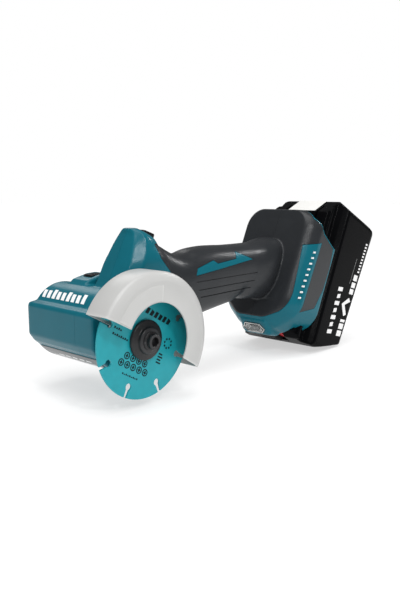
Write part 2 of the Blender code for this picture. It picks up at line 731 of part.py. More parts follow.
def make_motor():
    """Stator with six teeth and its windings, magnet rotor, shaft, fan and sensor board."""
    iron, copper = (STEEL, 0.5, 0.9), (COPPER, 0.35, 0.8)
    stator = slab("stator_core", circle(0, 0, 20.4, 32), 34.0, 56.0, in_xz, iron)
    cut(stator, slab("stator_slots", toothed(18.0, 12.0, 20.0), 33.0, 57.0, in_xz, GUIDE))
    winding = turned("stator_winding", [(13.2, 28.6), (17.6, 28.6), (17.6, 33.6), (13.2, 33.6)], copper)
    bars = [turned("winding_back", [(13.2, 56.4), (17.6, 56.4), (17.6, 61.4), (13.2, 61.4)], GUIDE)]
    for k in range(TEETH):
        middle = 360.0 / TEETH * (k + 0.5)
        wedge = arc(0, 0, 17.4, middle - 14, middle + 14, 3) + arc(0, 0, 13.4, middle + 7, middle - 7, 2)
        bars.append(slab(f"winding_bar{k}", wedge, 33.0, 57.0, in_xz, GUIDE))
    join(winding, *bars)

    spin = "spindle"
    shaft = [(2.9, -0.9), (4.6, -0.9), (4.6, 84.9), (0.0, 84.9), (0.0, 15.0), (2.9, 15.0)]
    turned("rotor_shaft", shaft, (STEEL, 0.25, 1.0), spin)
    core = [(4.9, 34.0), (11.5, 34.0), (11.5, 56.0), (4.9, 56.0)]
    turned("rotor_core", core, (STEEL, 0.35, 0.9), spin)
    hub = turned("cooling_fan", [(4.9, 72.0), (20.0, 72.0), (20.0, 73.4), (8.0, 73.4), (7.4, 77.0), (4.9, 77.0)],
                 (BLACK, 0.5, 0.0), spin, steps=28)
    blades = []
    for k in range(9):
        a = 2 * math.pi * k / 9
        tangent = (-math.sin(a), math.cos(a))
        corners = []
        for r, lean, side in ((7.8, 0.0, -0.6), (19.2, 3.5, -0.6), (19.2, 3.5, 0.6), (7.8, 0.0, 0.6)):
            corners.append((r * math.cos(a) + tangent[0] * (lean + side), r * math.sin(a) + tangent[1] * (lean + side)))
        blades.append(slab(f"fan_blade{k}", corners, 73.0, 77.2, in_xz, GUIDE, spin))
    join(hub, *blades)
    notched = []
    for k in range(6):
        notched += arc(0, 0, 9.5, 60 * k - 17, 60 * k + 17, 3) + arc(0, 0, 6.6, 60 * k + 22, 60 * k + 38, 1)
    cut(slab("lock_wheel", notched, 63.4, 69.0, in_xz, (STEEL, 0.35, 1.0), spin),
        rod("lock_wheel_bore", (0, 60, 0), (0, 72, 0), 4.9, GUIDE, spin))
    turned("sensor_board", [(6.0, 25.0), (17.0, 25.0), (17.0, 26.6), (6.0, 26.6)], (GREEN, 0.5, 0.0), steps=20)


def make_disc():
    """Cutting disc with eight keyhole slots, its flanges and the clamp bolt."""
    spin = "spindle"
    outline = []
    slots = 8
    neck_half = math.degrees(1.1 / DISC_RADIUS)
    for k in range(slots):
        a = 18.0 + 360.0 / slots * k
        outline += arc(0, 0, DISC_RADIUS, a - 360.0 / slots + neck_half, a - neck_half, 8)
        head = (31.0 * math.cos(math.radians(a)), 31.0 * math.sin(math.radians(a)))
        outline += arc(head[0], head[1], 2.3, a - 38, a - 322, 7)
    disc = slab("cutting_disc", outline, -DISC_THICKNESS / 2, DISC_THICKNESS / 2, in_xz, (TEAL_BRIGHT, 0.3, 0.2), spin)
    cut(disc, rod("disc_bore", (0, -5, 0), (0, 5, 0), BORE / 2, GUIDE, spin, steps=24))
    dark = ((0.03, 0.03, 0.033), 0.35, 0.7)
    inner = [(4.9, 0.9), (13.0, 0.9), (13.0, 2.6), (8.2, 3.2), (6.4, 3.8), (6.4, 14.6), (4.9, 14.6)]
    turned("inner_flange", inner, dark, spin)
    outer = [(2.9, -1.2), (4.6, -1.2), (4.9, -0.9), (12.9, -0.9), (12.9, -2.6), (12.0, -3.4), (8.9, -3.6),
             (8.6, -5.6), (7.8, -6.2), (2.9, -6.2)]
    turned("outer_flange", outer, dark, spin, steps=28)
    bolt = [(0.0, -7.4), (2.1, -7.6), (2.1, -10.4), (4.4, -10.4), (4.9, -9.8), (4.9, -7.8), (6.2, -7.4),
            (6.2, -6.5), (2.6, -6.5), (2.6, 12.0), (0.0, 12.0)]
    turned("clamp_bolt", bolt, dark, spin, steps=16)


def make_guard():
    """Cup-shaped guard over the upper half of the disc, on a collar round the nose."""
    r, t = GUARD_RADIUS, GUARD_WALL
    front, back = GUARD_FRONT, GUARD_BACK
    outer = [(GUARD_WINDOW, front), (r - 6.4, front), (r - 1.3, front + 2.0), (r, front + 4.0), (r, back - 1.0),
             (r - 1.0, back), (15.6, back), (15.6, back - t), (r - t, back - t), (r - t, front + 4.2),
             (r - t - 0.4, front + 3.4), (r - 6.4, front + t)]
    guard = turned("wheel_guard", outer, (GUARD_GREY, 0.4, 0.3), "guard", steps=32, start=GUARD_START, end=GUARD_END)
    collar = [(14.6, back - t), (18.0, back - t), (18.0, 14.9), (14.6, 14.9)]
    join(guard, turned("guard_collar", collar, GUIDE, "guard", steps=24),
         slab("clamp_ear_a", box_outline(14.8, -11.0, 27.0, -4.6, 1.5), 10.6, 14.9, in_xz, GUIDE, "guard"))
    cut(guard, slab("collar_split", box_outline(12.0, -8.4, 30.0, -7.2), 10.4, 16.0, in_xz, GUIDE, "guard"),
        rod("clamp_hole", (22.5, 12.7, -13), (22.5, 12.7, -2), 1.5, GUIDE, "guard", steps=12))
    steel = (STEEL, 0.3, 1.0)
    screw = rod("guard_clamp_screw", (22.5, 12.7, -14.5), (22.5, 12.7, -2.0), 1.2, steel, "guard", steps=12)
    join(screw, rod("clamp_head", (22.5, 12.7, -14.6), (22.5, 12.7, -11.3), 2.1, GUIDE, "guard", steps=12))


def make_controls():
    """Trigger, lock-off button and shaft-lock button, each with its spring."""
    side = rounded([(49.2, 7.0, 0), (49.2, 1.0, 1.5), (54.0, -4.2, 3), (66.0, -5.8, 8), (80.0, -3.6, 4),
                    (82.8, 2.4, 1), (82.8, 7.0, 0)])
    trigger = slab("trigger", side, MID_Y - 8.0, MID_Y + 8.0, in_xz, (BLACK, 0.4, 0.0), "trigger", edge=1.2)
    join(trigger, rod("trigger_stem", (66, MID_Y, 5), (66, MID_Y, 12), 3.0, GUIDE, "trigger"))
    spring("trigger_spring", (74.0, MID_Y, 7.6), (74.0, MID_Y, 17.0), 2.4, 0.4, 4)

    cap = slab("lock_off_button", button_outline(0.0), 60.6, 68.6, along_slope, (BLACK, 0.4, 0.0), "lock_off",
               edge=0.6)
    join(cap, slab("lock_off_foot", button_outline(0.0), 60.0, 61.5, along_slope, GUIDE, "lock_off"))
    spring("lock_off_spring", along_slope(0.0, MID_Y, 56.4), along_slope(0.0, MID_Y, 59.6), 1.8, 0.35, 3)

    top = slab("shaft_lock_button", box_outline(5.8, 59.4, 16.8, 69.2, 2.0), 26.8, 35.5, in_xy, (BLACK, 0.45, 0.0),
               "shaft_lock", edge=0.7)
    join(top, rod("lock_pin", (0.0, 66.2, 11.4), (0.0, 66.2, 27.2), 1.5, GUIDE, "shaft_lock", steps=12),
         slab("lock_bridge", box_outline(-1.9, 64.3, 7.0, 68.1), 23.9, 27.5, in_xy, GUIDE, "shaft_lock"))
    cut(top, rod("spring_bore", (13.4, 64.3, 20.0), (13.4, 64.3, 30.4), 2.7, GUIDE, "shaft_lock"))
    spring("shaft_lock_spring", (13.4, 64.3, 24.0), (13.4, 64.3, 29.8), 1.9, 0.35, 3)


def make_electrics():
    """Switch, controller, terminal block, lamp."""
    dark = (BLACK, 0.5, 0.0)
    switch = slab("switch_unit", box_outline(54.0, 17.5, 88.0, 32.6, 1.5), MID_Y - 9.0, MID_Y + 9.0, in_xz, dark)
    cut(switch, rod("stem_hole", (66, MID_Y, 10), (66, MID_Y, 20), 3.6, GUIDE))
    slab("controller", box_outline(MID_Y - 24, -36.0, MID_Y + 24, 16.6, 2.0), -38.5, -27.0, in_yh,
         ((0.3, 0.31, 0.32), 0.4, 0.8))
    block = slab("terminal_block", terminal_outline(), -25.4, -20.2, in_yh, dark)
    blades = []
    for k, y in enumerate(BLADES):
        blades.append(slab(f"blade{k}", box_outline(y - 0.5, 0.0, y + 0.5, 16.0), -21.5, -11.5, in_yh, GUIDE))
    join(block, *blades)
    slab("lamp_lens", lens_outline(0.0), 4.6, 8.6, on_lamp, (CLEAR_GLASS, 0.1, 0.0), edge=0.6)
    slab("lamp_board", box_outline(-3.6, MID_Y - 6, 3.6, MID_Y + 6), 9.2, 10.4, on_lamp, (GREEN, 0.5, 0.0))


# ---------------------------------------------------------------- the battery
CELL_RADIUS, CELL_LENGTH, CELL_PITCH = 9.0, 64.0, 18.3
CELL_ROWS = ((13.9, -37.5), (29.9, -28.35))         # s of each row, h of its lowest cell
BLADES = (MID_Y - 17.2, MID_Y + 17.2)               # y of the two terminal blades


def make_battery():
    """Two case halves, ten cells in two staggered rows, circuit board, release button, gauge."""
    for name, lo, hi in (("battery_upper_case", PACK_TOP - 5, PACK_SPLIT - CLEAR / 2),
                         ("battery_lower_case", PACK_SPLIT + CLEAR / 2, PACK_BASE + 20)):
        case = pack_solid(name, lo, hi)
        cut(case, slab(name + "_room", box_outline(MID_Y - 34.2, -47.0, MID_Y + 34.2, 54.2, 2.0), -1.0,
                       PACK_BASE - 3.2, block_yh, GUIDE, "battery"))
        if "upper" in name:
            slots = [slab(f"{name}_slot{k}", box_outline(y - 1.0, -6.0, y + 1.0, 70.0), PACK_TOP - 3, -9.5, in_yh,
                          GUIDE, "battery") for k, y in enumerate(BLADES)]
            cut(case, *slots, slab(name + "_latch_room", box_outline(MID_Y - 14.5, -72.0, MID_Y + 14.5, -40.0, 1.0),
                                   PACK_TOP - 3, -2.5, in_yh, GUIDE, "battery"))
        else:
            cut(case, slab(name + "_gauge_hole", box_outline(19.4, MID_Y - 4.6, 26.6, MID_Y + 4.6, 1.2), -70.0, -50.0,
                           in_sy, GUIDE, "battery"))
    for row, (s, lowest) in enumerate(CELL_ROWS):
        for k in range(5):
            h = lowest + CELL_PITCH * k
            lo, hi = on_pack(s, MID_Y - CELL_LENGTH / 2, h), on_pack(s, MID_Y + CELL_LENGTH / 2, h)
            rod(f"cell_{row * 5 + k + 1}", lo, hi, CELL_RADIUS, ((0.02, 0.12, 0.3), 0.4, 0.0), "battery", 16)
    slab("battery_board", box_outline(MID_Y - 30, -34.0, MID_Y + 30, 46.0, 2.0), 0.6, 2.0, in_yh, (GREEN, 0.5, 0.0),
         "battery")
    core = rounded([(-18.6, -43.0, 1), (-18.6, -57.0, 2), (-14.0, -61.0, 1.5), (-3.4, -61.0, 1), (-3.4, -43.0, 1)])
    cover = rounded([(-14.6, -60.4, 0), (-16.8, -63.6, 1.5), (-12.0, -65.8, 2), (-5.0, -65.2, 2), (-4.2, -60.4, 0)])
    latch = slab("release_button", core, MID_Y - 13.6, MID_Y + 13.6, in_sh, (RED, 0.4, 0.0), "latch", edge=0.8)
    join(latch, slab("release_cover", cover, MID_Y - 9.4, MID_Y + 9.4, in_sh, GUIDE, "latch", edge=1.2))
    spring("latch_spring", on_pack(-11.0, MID_Y, -42.6), on_pack(-11.0, MID_Y, -40.4), 2.0, 0.35, 2, "battery")
    slab("gauge_button", box_outline(20.0, MID_Y - 4, 26.0, MID_Y + 4, 1.0), -59.4, -54.0, in_sy,
         (BLACK, 0.4, 0.0), "gauge", edge=0.5)
    slab("battery_label", box_outline(MID_Y - 14.5, 1.2, MID_Y + 13.5, 22.4, 1.0), 0.3, 0.7, on_ramp,
         (WHITE, 0.5, 0.0), "battery")


def on_ramp(y, a, d):
    """A point on the battery's sloping end: a up the slope, d out of it."""
    start, end = Vector((PACK_TOP + 0.2, 49.6)), Vector((-2.8, 67.0))
    along = (end - start).normalized()
    out = Vector((-along.y, along.x))
    s, h = start + along * a + out * d
    return on_pack(s, y, h)


def make_label():
    """The rating plate wrapped round the underside of the barrel."""
    r = BARREL_RADIUS + CLEAR
    profile = [(r, 22.0), (r + 0.4, 22.0), (r + 0.4, 84.0), (r, 84.0)]
    turned("rating_plate", profile, ((0.45, 0.45, 0.46), 0.4, 0.4), centre=(0.0, BARREL_LIFT), steps=8, start=217.0,
           end=246.0)


def main():
    clear_scene()
    make_bodies()
    for side in ("near", "far"):
        housing(side)
        make_grip(side)
    make_screws()
    make_bearing_box()
    make_bearings()
    make_motor()
    make_disc()
    make_guard()
    make_controls()
    make_electrics()
    make_battery()
    make_label()


main()
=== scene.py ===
"""Looks of the compact cordless cut-off saw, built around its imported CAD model.

Shapes are written in millimetres from the centre of the cutting disc (+X towards the battery,
-Y out of the disc's face, +Z up). The battery and its holder have a frame of their own, tilted
back: s goes out through the battery's base, h goes up along the battery.
"""
import json
import math

import bpy
import numpy as np
from mathutils import Matrix, Vector


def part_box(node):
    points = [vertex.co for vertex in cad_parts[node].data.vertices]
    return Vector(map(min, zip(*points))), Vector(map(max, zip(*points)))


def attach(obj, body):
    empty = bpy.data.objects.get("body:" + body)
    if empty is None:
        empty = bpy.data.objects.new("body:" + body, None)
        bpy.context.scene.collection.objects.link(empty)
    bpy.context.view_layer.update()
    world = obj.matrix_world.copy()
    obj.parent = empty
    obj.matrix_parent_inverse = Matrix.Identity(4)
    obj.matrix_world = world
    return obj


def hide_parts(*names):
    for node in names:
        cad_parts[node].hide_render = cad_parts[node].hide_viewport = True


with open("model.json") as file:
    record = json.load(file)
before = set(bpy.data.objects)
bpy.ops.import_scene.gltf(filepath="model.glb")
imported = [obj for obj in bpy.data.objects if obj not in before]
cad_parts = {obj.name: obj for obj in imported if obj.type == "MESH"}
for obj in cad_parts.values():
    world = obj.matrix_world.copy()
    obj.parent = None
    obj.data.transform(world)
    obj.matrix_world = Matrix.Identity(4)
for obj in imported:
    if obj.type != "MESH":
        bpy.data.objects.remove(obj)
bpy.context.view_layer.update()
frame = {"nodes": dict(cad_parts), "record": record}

# ---- the frame's own places
BOLT_BOX, DISC_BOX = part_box("clamp_bolt"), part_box("cutting_disc")
DISC_CENTRE = Vector(((BOLT_BOX[0].x + BOLT_BOX[1].x) / 2, (DISC_BOX[0].y + DISC_BOX[1].y) / 2,
                      (BOLT_BOX[0].z + BOLT_BOX[1].z) / 2))
TO_WORLD = Matrix.Translation(DISC_CENTRE) @ Matrix.Scale(0.001, 4)

CLEAR = 0.3  # gap between pieces that touch
SEAM = 0.07  # half the width of a parting line
RUBBER, WALL = 2.0, 2.5
VOXEL = 0.8  # grain of the remeshed shells
SHARP_ANGLE = math.radians(32)  # edges above this stay sharp in the shading
DISC_RADIUS, DISC_THICKNESS, DISC_SLOTS = 38.0, 1.2, 8
GUARD_RADIUS, GUARD_WALL, GUARD_WINDOW = 44.0, 1.5, 25.0
GUARD_FRONT, GUARD_BACK = -14.0, 8.0
GUARD_START, GUARD_END = -32.0, 152.0
MID_Y, NEAR_Y = 34.0, 15.6
BARREL_RADIUS, BARREL_LIFT, BARREL_RISE, BARREL_END = 25.0, 1.5, 2.5, 90.0
BARREL_EDGE = 5.0  # rounding of the barrel's far end
PACK_ORIGIN, PACK_TILT = (212.9, 21.4), math.radians(24.7)
PACK_WIDTH = 75.0
PACK_BASE, PACK_TOP, PACK_SPLIT = 46.0, -19.0, 3.0
PACK_TAPER = 0.00176  # how much thicker the battery gets per mm upwards
HOLDER_FRONT, HOLDER_BACK = -45.0, -6.5


# ---- planes and outlines
def on_pack(s, y, h):
    """A point in the battery's own frame."""
    c, n = math.cos(PACK_TILT), math.sin(PACK_TILT)
    return (PACK_ORIGIN[0] + s * c + h * n, y, PACK_ORIGIN[1] - s * n + h * c)


def in_xz(a, b, y):
    return (a, y, b)


def in_xy(a, b, z):
    return (a, b, z)


def in_sh(s, h, y):
    return on_pack(s, y, h)


def in_yh(y, h, s):
    return on_pack(s, y, h)


def in_ys(y, s, h):
    return on_pack(s, y, h)


def tapered(s, h):
    """The battery's block is thicker at its upper end: s there, stretched."""
    return s * (1 + PACK_TAPER * h) if s > 0 else s


def block_ys(y, s, h):
    return on_pack(tapered(s, h), y, h)


def block_yh(y, h, s):
    return on_pack(tapered(s, h), y, h)


def arc(cx, cy, radius, start, end, steps):
    angles = [math.radians(start + (end - start) * i / steps) for i in range(steps + 1)]
    return [(cx + radius * math.cos(a), cy + radius * math.sin(a)) for a in angles]


def circle(cx, cy, radius, steps=48):
    return arc(cx, cy, radius, 0, 360, steps)[:-1]


def rounded(corners, steps=6):
    """Corners given as (a, b, radius), each cut to an arc that is tangent to both sides."""
    points = []
    count = len(corners)
    for i, (a, b, radius) in enumerate(corners):
        if radius <= 0:
            points.append((a, b))
            continue
        corner = Vector((a, b))
        back = (Vector(corners[i - 1][:2]) - corner).normalized()
        ahead = (Vector(corners[(i + 1) % count][:2]) - corner).normalized()
        half = back.angle(ahead) / 2
        reach = radius / math.tan(half)
        centre = corner + (back + ahead).normalized() * radius / math.sin(half)
        first = corner + back * reach - centre
        turn = first.angle_signed(corner + ahead * reach - centre)
        for k in range(steps + 1):
            spoke = first.copy()
            spoke.rotate(Matrix.Rotation(-turn * k / steps, 2))
            points.append(tuple(centre + spoke))
    return points


def box_outline(a0, b0, a1, b1, radius=0.0, steps=6):
    return rounded([(a0, b0, radius), (a1, b0, radius), (a1, b1, radius), (a0, b1, radius)], steps)


def mid_box(half, b0, b1, radius=0.0):
    """A box across the parting plane, y first."""
    return box_outline(MID_Y - half, b0, MID_Y + half, b1, radius)


def mid_band(a0, a1, half, radius=0.0):
    """A box across the parting plane, y second."""
    return box_outline(a0, MID_Y - half, a1, MID_Y + half, radius)


def quarter(steps):
    """Angles from 0 to a right angle."""
    return [math.pi / 2 * k / steps for k in range(steps + 1)]


def inset(outline, distance):
    """The outline with every side moved inwards by the same distance."""
    count = len(outline)
    area = sum(outline[i - 1][0] * outline[i][1] - outline[i][0] * outline[i - 1][1] for i in range(count))
    inwards = 1 if area > 0 else -1
    result = []
    for i in range(count):
        p, q, r = (Vector(outline[(i + k) % count]) for k in (-1, 0, 1))
        before, after = (q - p).normalized(), (r - q).normalized()
        normal = (before.orthogonal() + after.orthogonal()) * inwards
        result.append(tuple(q + normal * (2 * distance / max(normal.length_squared, 0.5))))
    return result


OVAL_POWER = 2.6  # 2 is an ellipse, more is squarer


def oval(cy, cz, half_width, half_height, steps=64):
    """A rounded-rectangle-like oval as (y, z) points."""
    points = []
    for i in range(steps):
        a = 2 * math.pi * (i + 0.5) / steps
        c, n = (math.copysign(abs(f) ** (2 / OVAL_POWER), f) for f in (math.cos(a), math.sin(a)))
        points.append((cy + half_width * c, cz + half_height * n))
    return points


def flowing(rings, per_gap):
    """More rings in between, on a smooth curve through the given ones."""
    rings = [np.array(ring, float) for ring in rings]
    result = []
    for k in range(len(rings) - 1):
        before, a, b = rings[max(k - 1, 0)], rings[k], rings[k + 1]
        after = rings[min(k + 2, len(rings) - 1)]
        for i in range(per_gap):
            t = i / per_gap
            result.append(0.5 * (2 * a + (b - before) * t + (2 * before - 5 * a + 4 * b - after) * t * t
                                 + (3 * a - before - 3 * b + after) * t ** 3))
    return result + [rings[-1]]


# ---- meshes, in millimetres
def link(name, data):
    """A new object in the scene."""
    item = bpy.data.objects.new(name, data)
    bpy.context.scene.collection.objects.link(item)
    return item


def solid(name, points, faces):
    """A closed mesh that faces outwards."""
    mesh = bpy.data.meshes.new(name)
    mesh.from_pydata([tuple(p) for p in points], [], faces)
    volume = 0.0
    for polygon in mesh.polygons:
        corners = [mesh.vertices[i].co for i in polygon.vertices]
        for k in range(1, len(corners) - 1):
            volume += corners[0].dot(corners[k].cross(corners[k + 1]))
    if volume < 0:
        mesh.flip_normals()
    return link(name, mesh)


def loft(name, rings):
    """A closed solid through rings of equal point count, flat at both ends."""
    count = len(rings[0])
    points = [p for ring in rings for p in ring]
    faces = [list(range(count))[::-1], list(range(count * (len(rings) - 1), count * len(rings)))]
    for k in range(len(rings) - 1):
        low, high = k * count, (k + 1) * count
        for i in range(count):
            j = (i + 1) % count
            faces.append([low + i, low + j, high + j, high + i])
    return solid(name, points, faces)


def slab(name, outline, lo, hi, plane, edge=0.0, edge_steps=3):
    """An outline pushed along its plane's normal, its end edges rounded if asked."""
    levels = [(lo, 0.0), (hi, 0.0)]
    if edge:
        sign = math.copysign(1.0, hi - lo)
        ease = [(edge * (1 - math.sin(a)), edge * (1 - math.cos(a))) for a in quarter(edge_steps)]
        levels = [(lo + sign * near, far) for far, near in ease]
        levels += [(hi - sign * near, far) for far, near in reversed(ease)]
    return loft(name, [[plane(a, b, level) for a, b in inset(outline, d)] for level, d in levels])


def turned(name, profile, centre=(0.0, 0.0), steps=96, start=0.0, end=360.0):
    """A profile of (radius, y) turned about a line along Y; radius 0 closes on the axis."""
    whole = end - start >= 360.0
    spokes = steps if whole else steps + 1
    points, index = [], {}
    for k in range(spokes):
        a = math.radians(start + (end - start) * k / steps)
        for i, (radius, y) in enumerate(profile):
            if radius == 0.0 and k > 0:
                index[k, i] = index[0, i]
                continue
            index[k, i] = len(points)
            points.append((centre[0] + radius * math.cos(a), y, centre[1] + radius * math.sin(a)))
    faces = []
    for k in range(steps):
        n = (k + 1) % spokes
        for i in range(len(profile)):
            j = (i + 1) % len(profile)
            unique = list(dict.fromkeys([index[k, i], index[k, j], index[n, j], index[n, i]]))
            if len(unique) > 2:
                faces.append(unique)
    if not whole:
        last = len(profile)
        faces.append([index[0, i] for i in range(last)][::-1])
        faces.append([index[steps, i] for i in range(last)])
    return solid(name, points, faces)


def rod(name, a, b, radius, steps=24, taper=0.0):
    """A round bar between two points, its ends eased by taper."""
    a, b = Vector(a), Vector(b)
    axis = (b - a).normalized()
    side = axis.orthogonal().normalized()
    up = axis.cross(side)
    places = [(a, radius), (b, radius)]
    if taper:
        places = [(a, radius - taper), (a + axis * taper, radius), (b - axis * taper, radius),
                  (b, radius - taper)]
    rings = []
    for centre, r in places:
        turns = (2 * math.pi * i / steps for i in range(steps))
        rings.append([centre + (side * math.cos(t) + up * math.sin(t)) * r for t in turns])
    return loft(name, rings)


def settle(item, *setups):
    """Add modifiers, each (type, {setting: value}), and bake them into the mesh."""
    for kind, settings in setups:
        modifier = item.modifiers.new(kind.lower(), kind)
        for key, value in settings.items():
            setattr(modifier, key, value)
    bpy.context.view_layer.update()
    graph = bpy.context.evaluated_depsgraph_get()
    mesh = bpy.data.meshes.new_from_object(item.evaluated_get(graph))
    item.modifiers.clear()
    old = item.data
    item.data = mesh
    bpy.data.meshes.remove(old)
    return item


def combine(item, tools, operation):
    """Boolean modifiers, baked; the tools are used up."""
    settle(item, *[("BOOLEAN", {"operation": operation, "solver": "MANIFOLD", "object": tool})
                   for tool in tools])
    for tool in tools:
        bpy.data.objects.remove(tool, do_unlink=True)
    return item


def cut(item, *tools):
    return combine(item, tools, "DIFFERENCE")


def join(item, *tools):
    return combine(item, tools, "UNION")


def keep(item, *tools):
    return combine(item, tools, "INTERSECT")


def merged(items):
    """All the solids joined to the first one."""
    return join(items[0], *items[1:])


def copy(item, name):
    """A second object with its own mesh."""
    return link(name, item.data.copy())


def skin_over(item, voxel, rounds):
    """One skin over the whole mesh, its edges and joins softened."""
    return settle(item, ("REMESH", {"mode": "VOXEL", "voxel_size": voxel}),
                  ("SMOOTH", {"factor": 0.5, "iterations": rounds}))


def piece(item, owner, slot, replaces=(), finish=None):
    """Place a finished mesh in the frame: smooth shading, material, body and CAD nodes."""
    item.data.transform(TO_WORLD)
    item.data.shade_smooth()
    item.data.set_sharp_from_angle(angle=SHARP_ANGLE)
    item.data.materials.clear()
    item.data.materials.append(finish or SLOT_FINISH[slot])
    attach(item, owner)
    if replaces:
        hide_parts(*replaces)


# ---- materials
def finish_of(name, colour, roughness, metallic=0.0, grain=0.0, grain_scale=900.0, mottle=0.06,
              mottle_scale=60.0, rough_spread=0.08, stretch=(1.0, 1.0, 1.0), wear=None, ior=1.5):
    """A moulded, painted or machined surface: mottled colour, uneven gloss and a fine grain."""
    material = bpy.data.materials.new(name)
    material.use_nodes = True
    tree = material.node_tree
    nodes, links = tree.nodes, tree.links
    shader = nodes["Principled BSDF"]
    shader.inputs["Metallic"].default_value = metallic
    shader.inputs["IOR"].default_value = ior
    place = nodes.new("ShaderNodeTexCoord")
    mapping = nodes.new("ShaderNodeMapping")
    mapping.inputs["Scale"].default_value = stretch
    links.new(place.outputs["Object"], mapping.inputs["Vector"])

    def noise(scale, detail):
        texture = nodes.new("ShaderNodeTexNoise")
        texture.inputs["Scale"].default_value = scale
        texture.inputs["Detail"].default_value = detail
        links.new(mapping.outputs["Vector"], texture.inputs["Vector"])
        return texture.outputs["Fac"]

    broad = noise(mottle_scale, 3.0)
    ramp = nodes.new("ShaderNodeValToRGB")
    ramp.color_ramp.elements[0].position, ramp.color_ramp.elements[1].position = 0.3, 0.7
    ramp.color_ramp.elements[0].color = (*[c * (1 - mottle) for c in colour], 1.0)
    ramp.color_ramp.elements[1].color = (*[min(c * (1 + mottle), 1.0) for c in colour], 1.0)
    links.new(broad, ramp.inputs["Fac"])
    surface = ramp.outputs["Color"]
    if wear:
        edges = nodes.new("ShaderNodeNewGeometry")
        worn = nodes.new("ShaderNodeMapRange")
        worn.inputs["From Min"].default_value, worn.inputs["From Max"].default_value = 0.53, 0.62
        worn.inputs["To Max"].default_value = 0.7
        links.new(edges.outputs["Pointiness"], worn.inputs["Value"])
        mix = nodes.new("ShaderNodeMix")
        mix.data_type = "RGBA"
        mix.inputs["B"].default_value = (*wear, 1.0)
        links.new(worn.outputs["Result"], mix.inputs["Factor"])
        links.new(surface, mix.inputs["A"])
        surface = mix.outputs["Result"]
    links.new(surface, shader.inputs["Base Color"])
    spread = nodes.new("ShaderNodeMapRange")
    spread.inputs["To Min"].default_value = roughness - rough_spread
    spread.inputs["To Max"].default_value = roughness + rough_spread
    links.new(noise(mottle_scale * 4, 5.0), spread.inputs["Value"])
    links.new(spread.outputs["Result"], shader.inputs["Roughness"])
    if grain:
        bump = nodes.new("ShaderNodeBump")
        bump.inputs["Strength"].default_value = grain
        bump.inputs["Distance"].default_value = 0.0002
        links.new(noise(grain_scale, 2.0), bump.inputs["Height"])
        links.new(bump.outputs["Normal"], shader.inputs["Normal"])
    return material


TEAL = finish_of("teal_moulding", (0.004, 0.118, 0.160), 0.25, grain=0.2, grain_scale=1500, mottle=0.03,
                 rough_spread=0.04, ior=1.28)
RUBBER_SKIN = finish_of("grip_rubber", (0.021, 0.0232, 0.0262), 0.32, grain=0.3, grain_scale=1800,
                        rough_spread=0.05, ior=1.36)
BLACK_PLASTIC = finish_of("black_moulding", (0.007, 0.0075, 0.0085), 0.35, grain=0.4, grain_scale=1600,
                          mottle=0.1, ior=1.25)
BLACK_GLOSS = finish_of("battery_moulding", (0.0028, 0.0029, 0.0034), 0.22, grain=0.1, grain_scale=1500,
                        mottle=0.08, rough_spread=0.03, ior=1.1)
GUARD_PAINT = finish_of("guard_coating", (0.48, 0.48, 0.472), 0.36, grain=0.15, grain_scale=1300,
                        mottle=0.015, wear=(0.72, 0.72, 0.70))
DISC_COAT = finish_of("disc_coating", (0.010, 0.33, 0.385), 0.4, 0.1, grain=0.2, grain_scale=2500,
                      mottle=0.04, mottle_scale=200, ior=1.42)
DARK_STEEL = finish_of("blackened_steel", (0.012, 0.0122, 0.0135), 0.42, 0.2, grain=0.2,
                       wear=(0.07, 0.07, 0.075))
STEEL = finish_of("machined_steel", (0.52, 0.52, 0.53), 0.3, 1.0, grain=0.15, grain_scale=700,
                  stretch=(1, 8, 1))
CAST = finish_of("cast_alloy", (0.42, 0.42, 0.43), 0.45, 1.0, grain=0.6, grain_scale=700)
POLISHED = finish_of("ground_steel", (0.6, 0.6, 0.61), 0.16, 1.0, grain=0.05, rough_spread=0.04)
IRON = finish_of("stamped_sheets", (0.25, 0.25, 0.26), 0.5, 0.9, grain=0.6, grain_scale=400,
                 stretch=(1, 30, 1))
COPPER = finish_of("enamelled_wire", (0.62, 0.26, 0.10), 0.35, 0.85, grain=0.9, grain_scale=500,
                   stretch=(1, 1, 6))
BOARD = finish_of("solder_mask", (0.01, 0.12, 0.045), 0.35, grain=0.3, grain_scale=500, mottle=0.2,
                  mottle_scale=300)
RED = finish_of("red_moulding", (0.45, 0.012, 0.02), 0.35, grain=0.2, grain_scale=1400)
WHITE_FILM = finish_of("white_film", (0.82, 0.815, 0.79), 0.45, mottle=0.015, grain=0.1)
SILVER_FILM = finish_of("silver_film", (0.20, 0.205, 0.21), 0.35, 0.5, mottle=0.04, grain=0.1)
PRINT_WHITE = finish_of("white_print", (0.86, 0.86, 0.86), 0.45, mottle=0.02, grain=0.05)
PRINT_GREY = finish_of("grey_print", (0.30, 0.30, 0.30), 0.45, mottle=0.05, grain=0.05)
PRINT_BLACK = finish_of("black_print", (0.004, 0.014, 0.017), 0.5, mottle=0.1, grain=0.05, ior=1.25)
SLEEVE = finish_of("cell_sleeve", (0.02, 0.10, 0.25), 0.3, mottle=0.05)
REFLECTOR = finish_of("lamp_reflector", (0.55, 0.55, 0.54), 0.25, 0.9, grain=0.1)


def lens_finish():
    """Clear moulded lens with a slight unevenness."""
    material = finish_of("lamp_lens_clear", (0.9, 0.93, 0.93), 0.08, rough_spread=0.04, grain=0.3,
                         grain_scale=350, ior=1.46)
    material.node_tree.nodes["Principled BSDF"].inputs["Transmission Weight"].default_value = 0.85
    return material


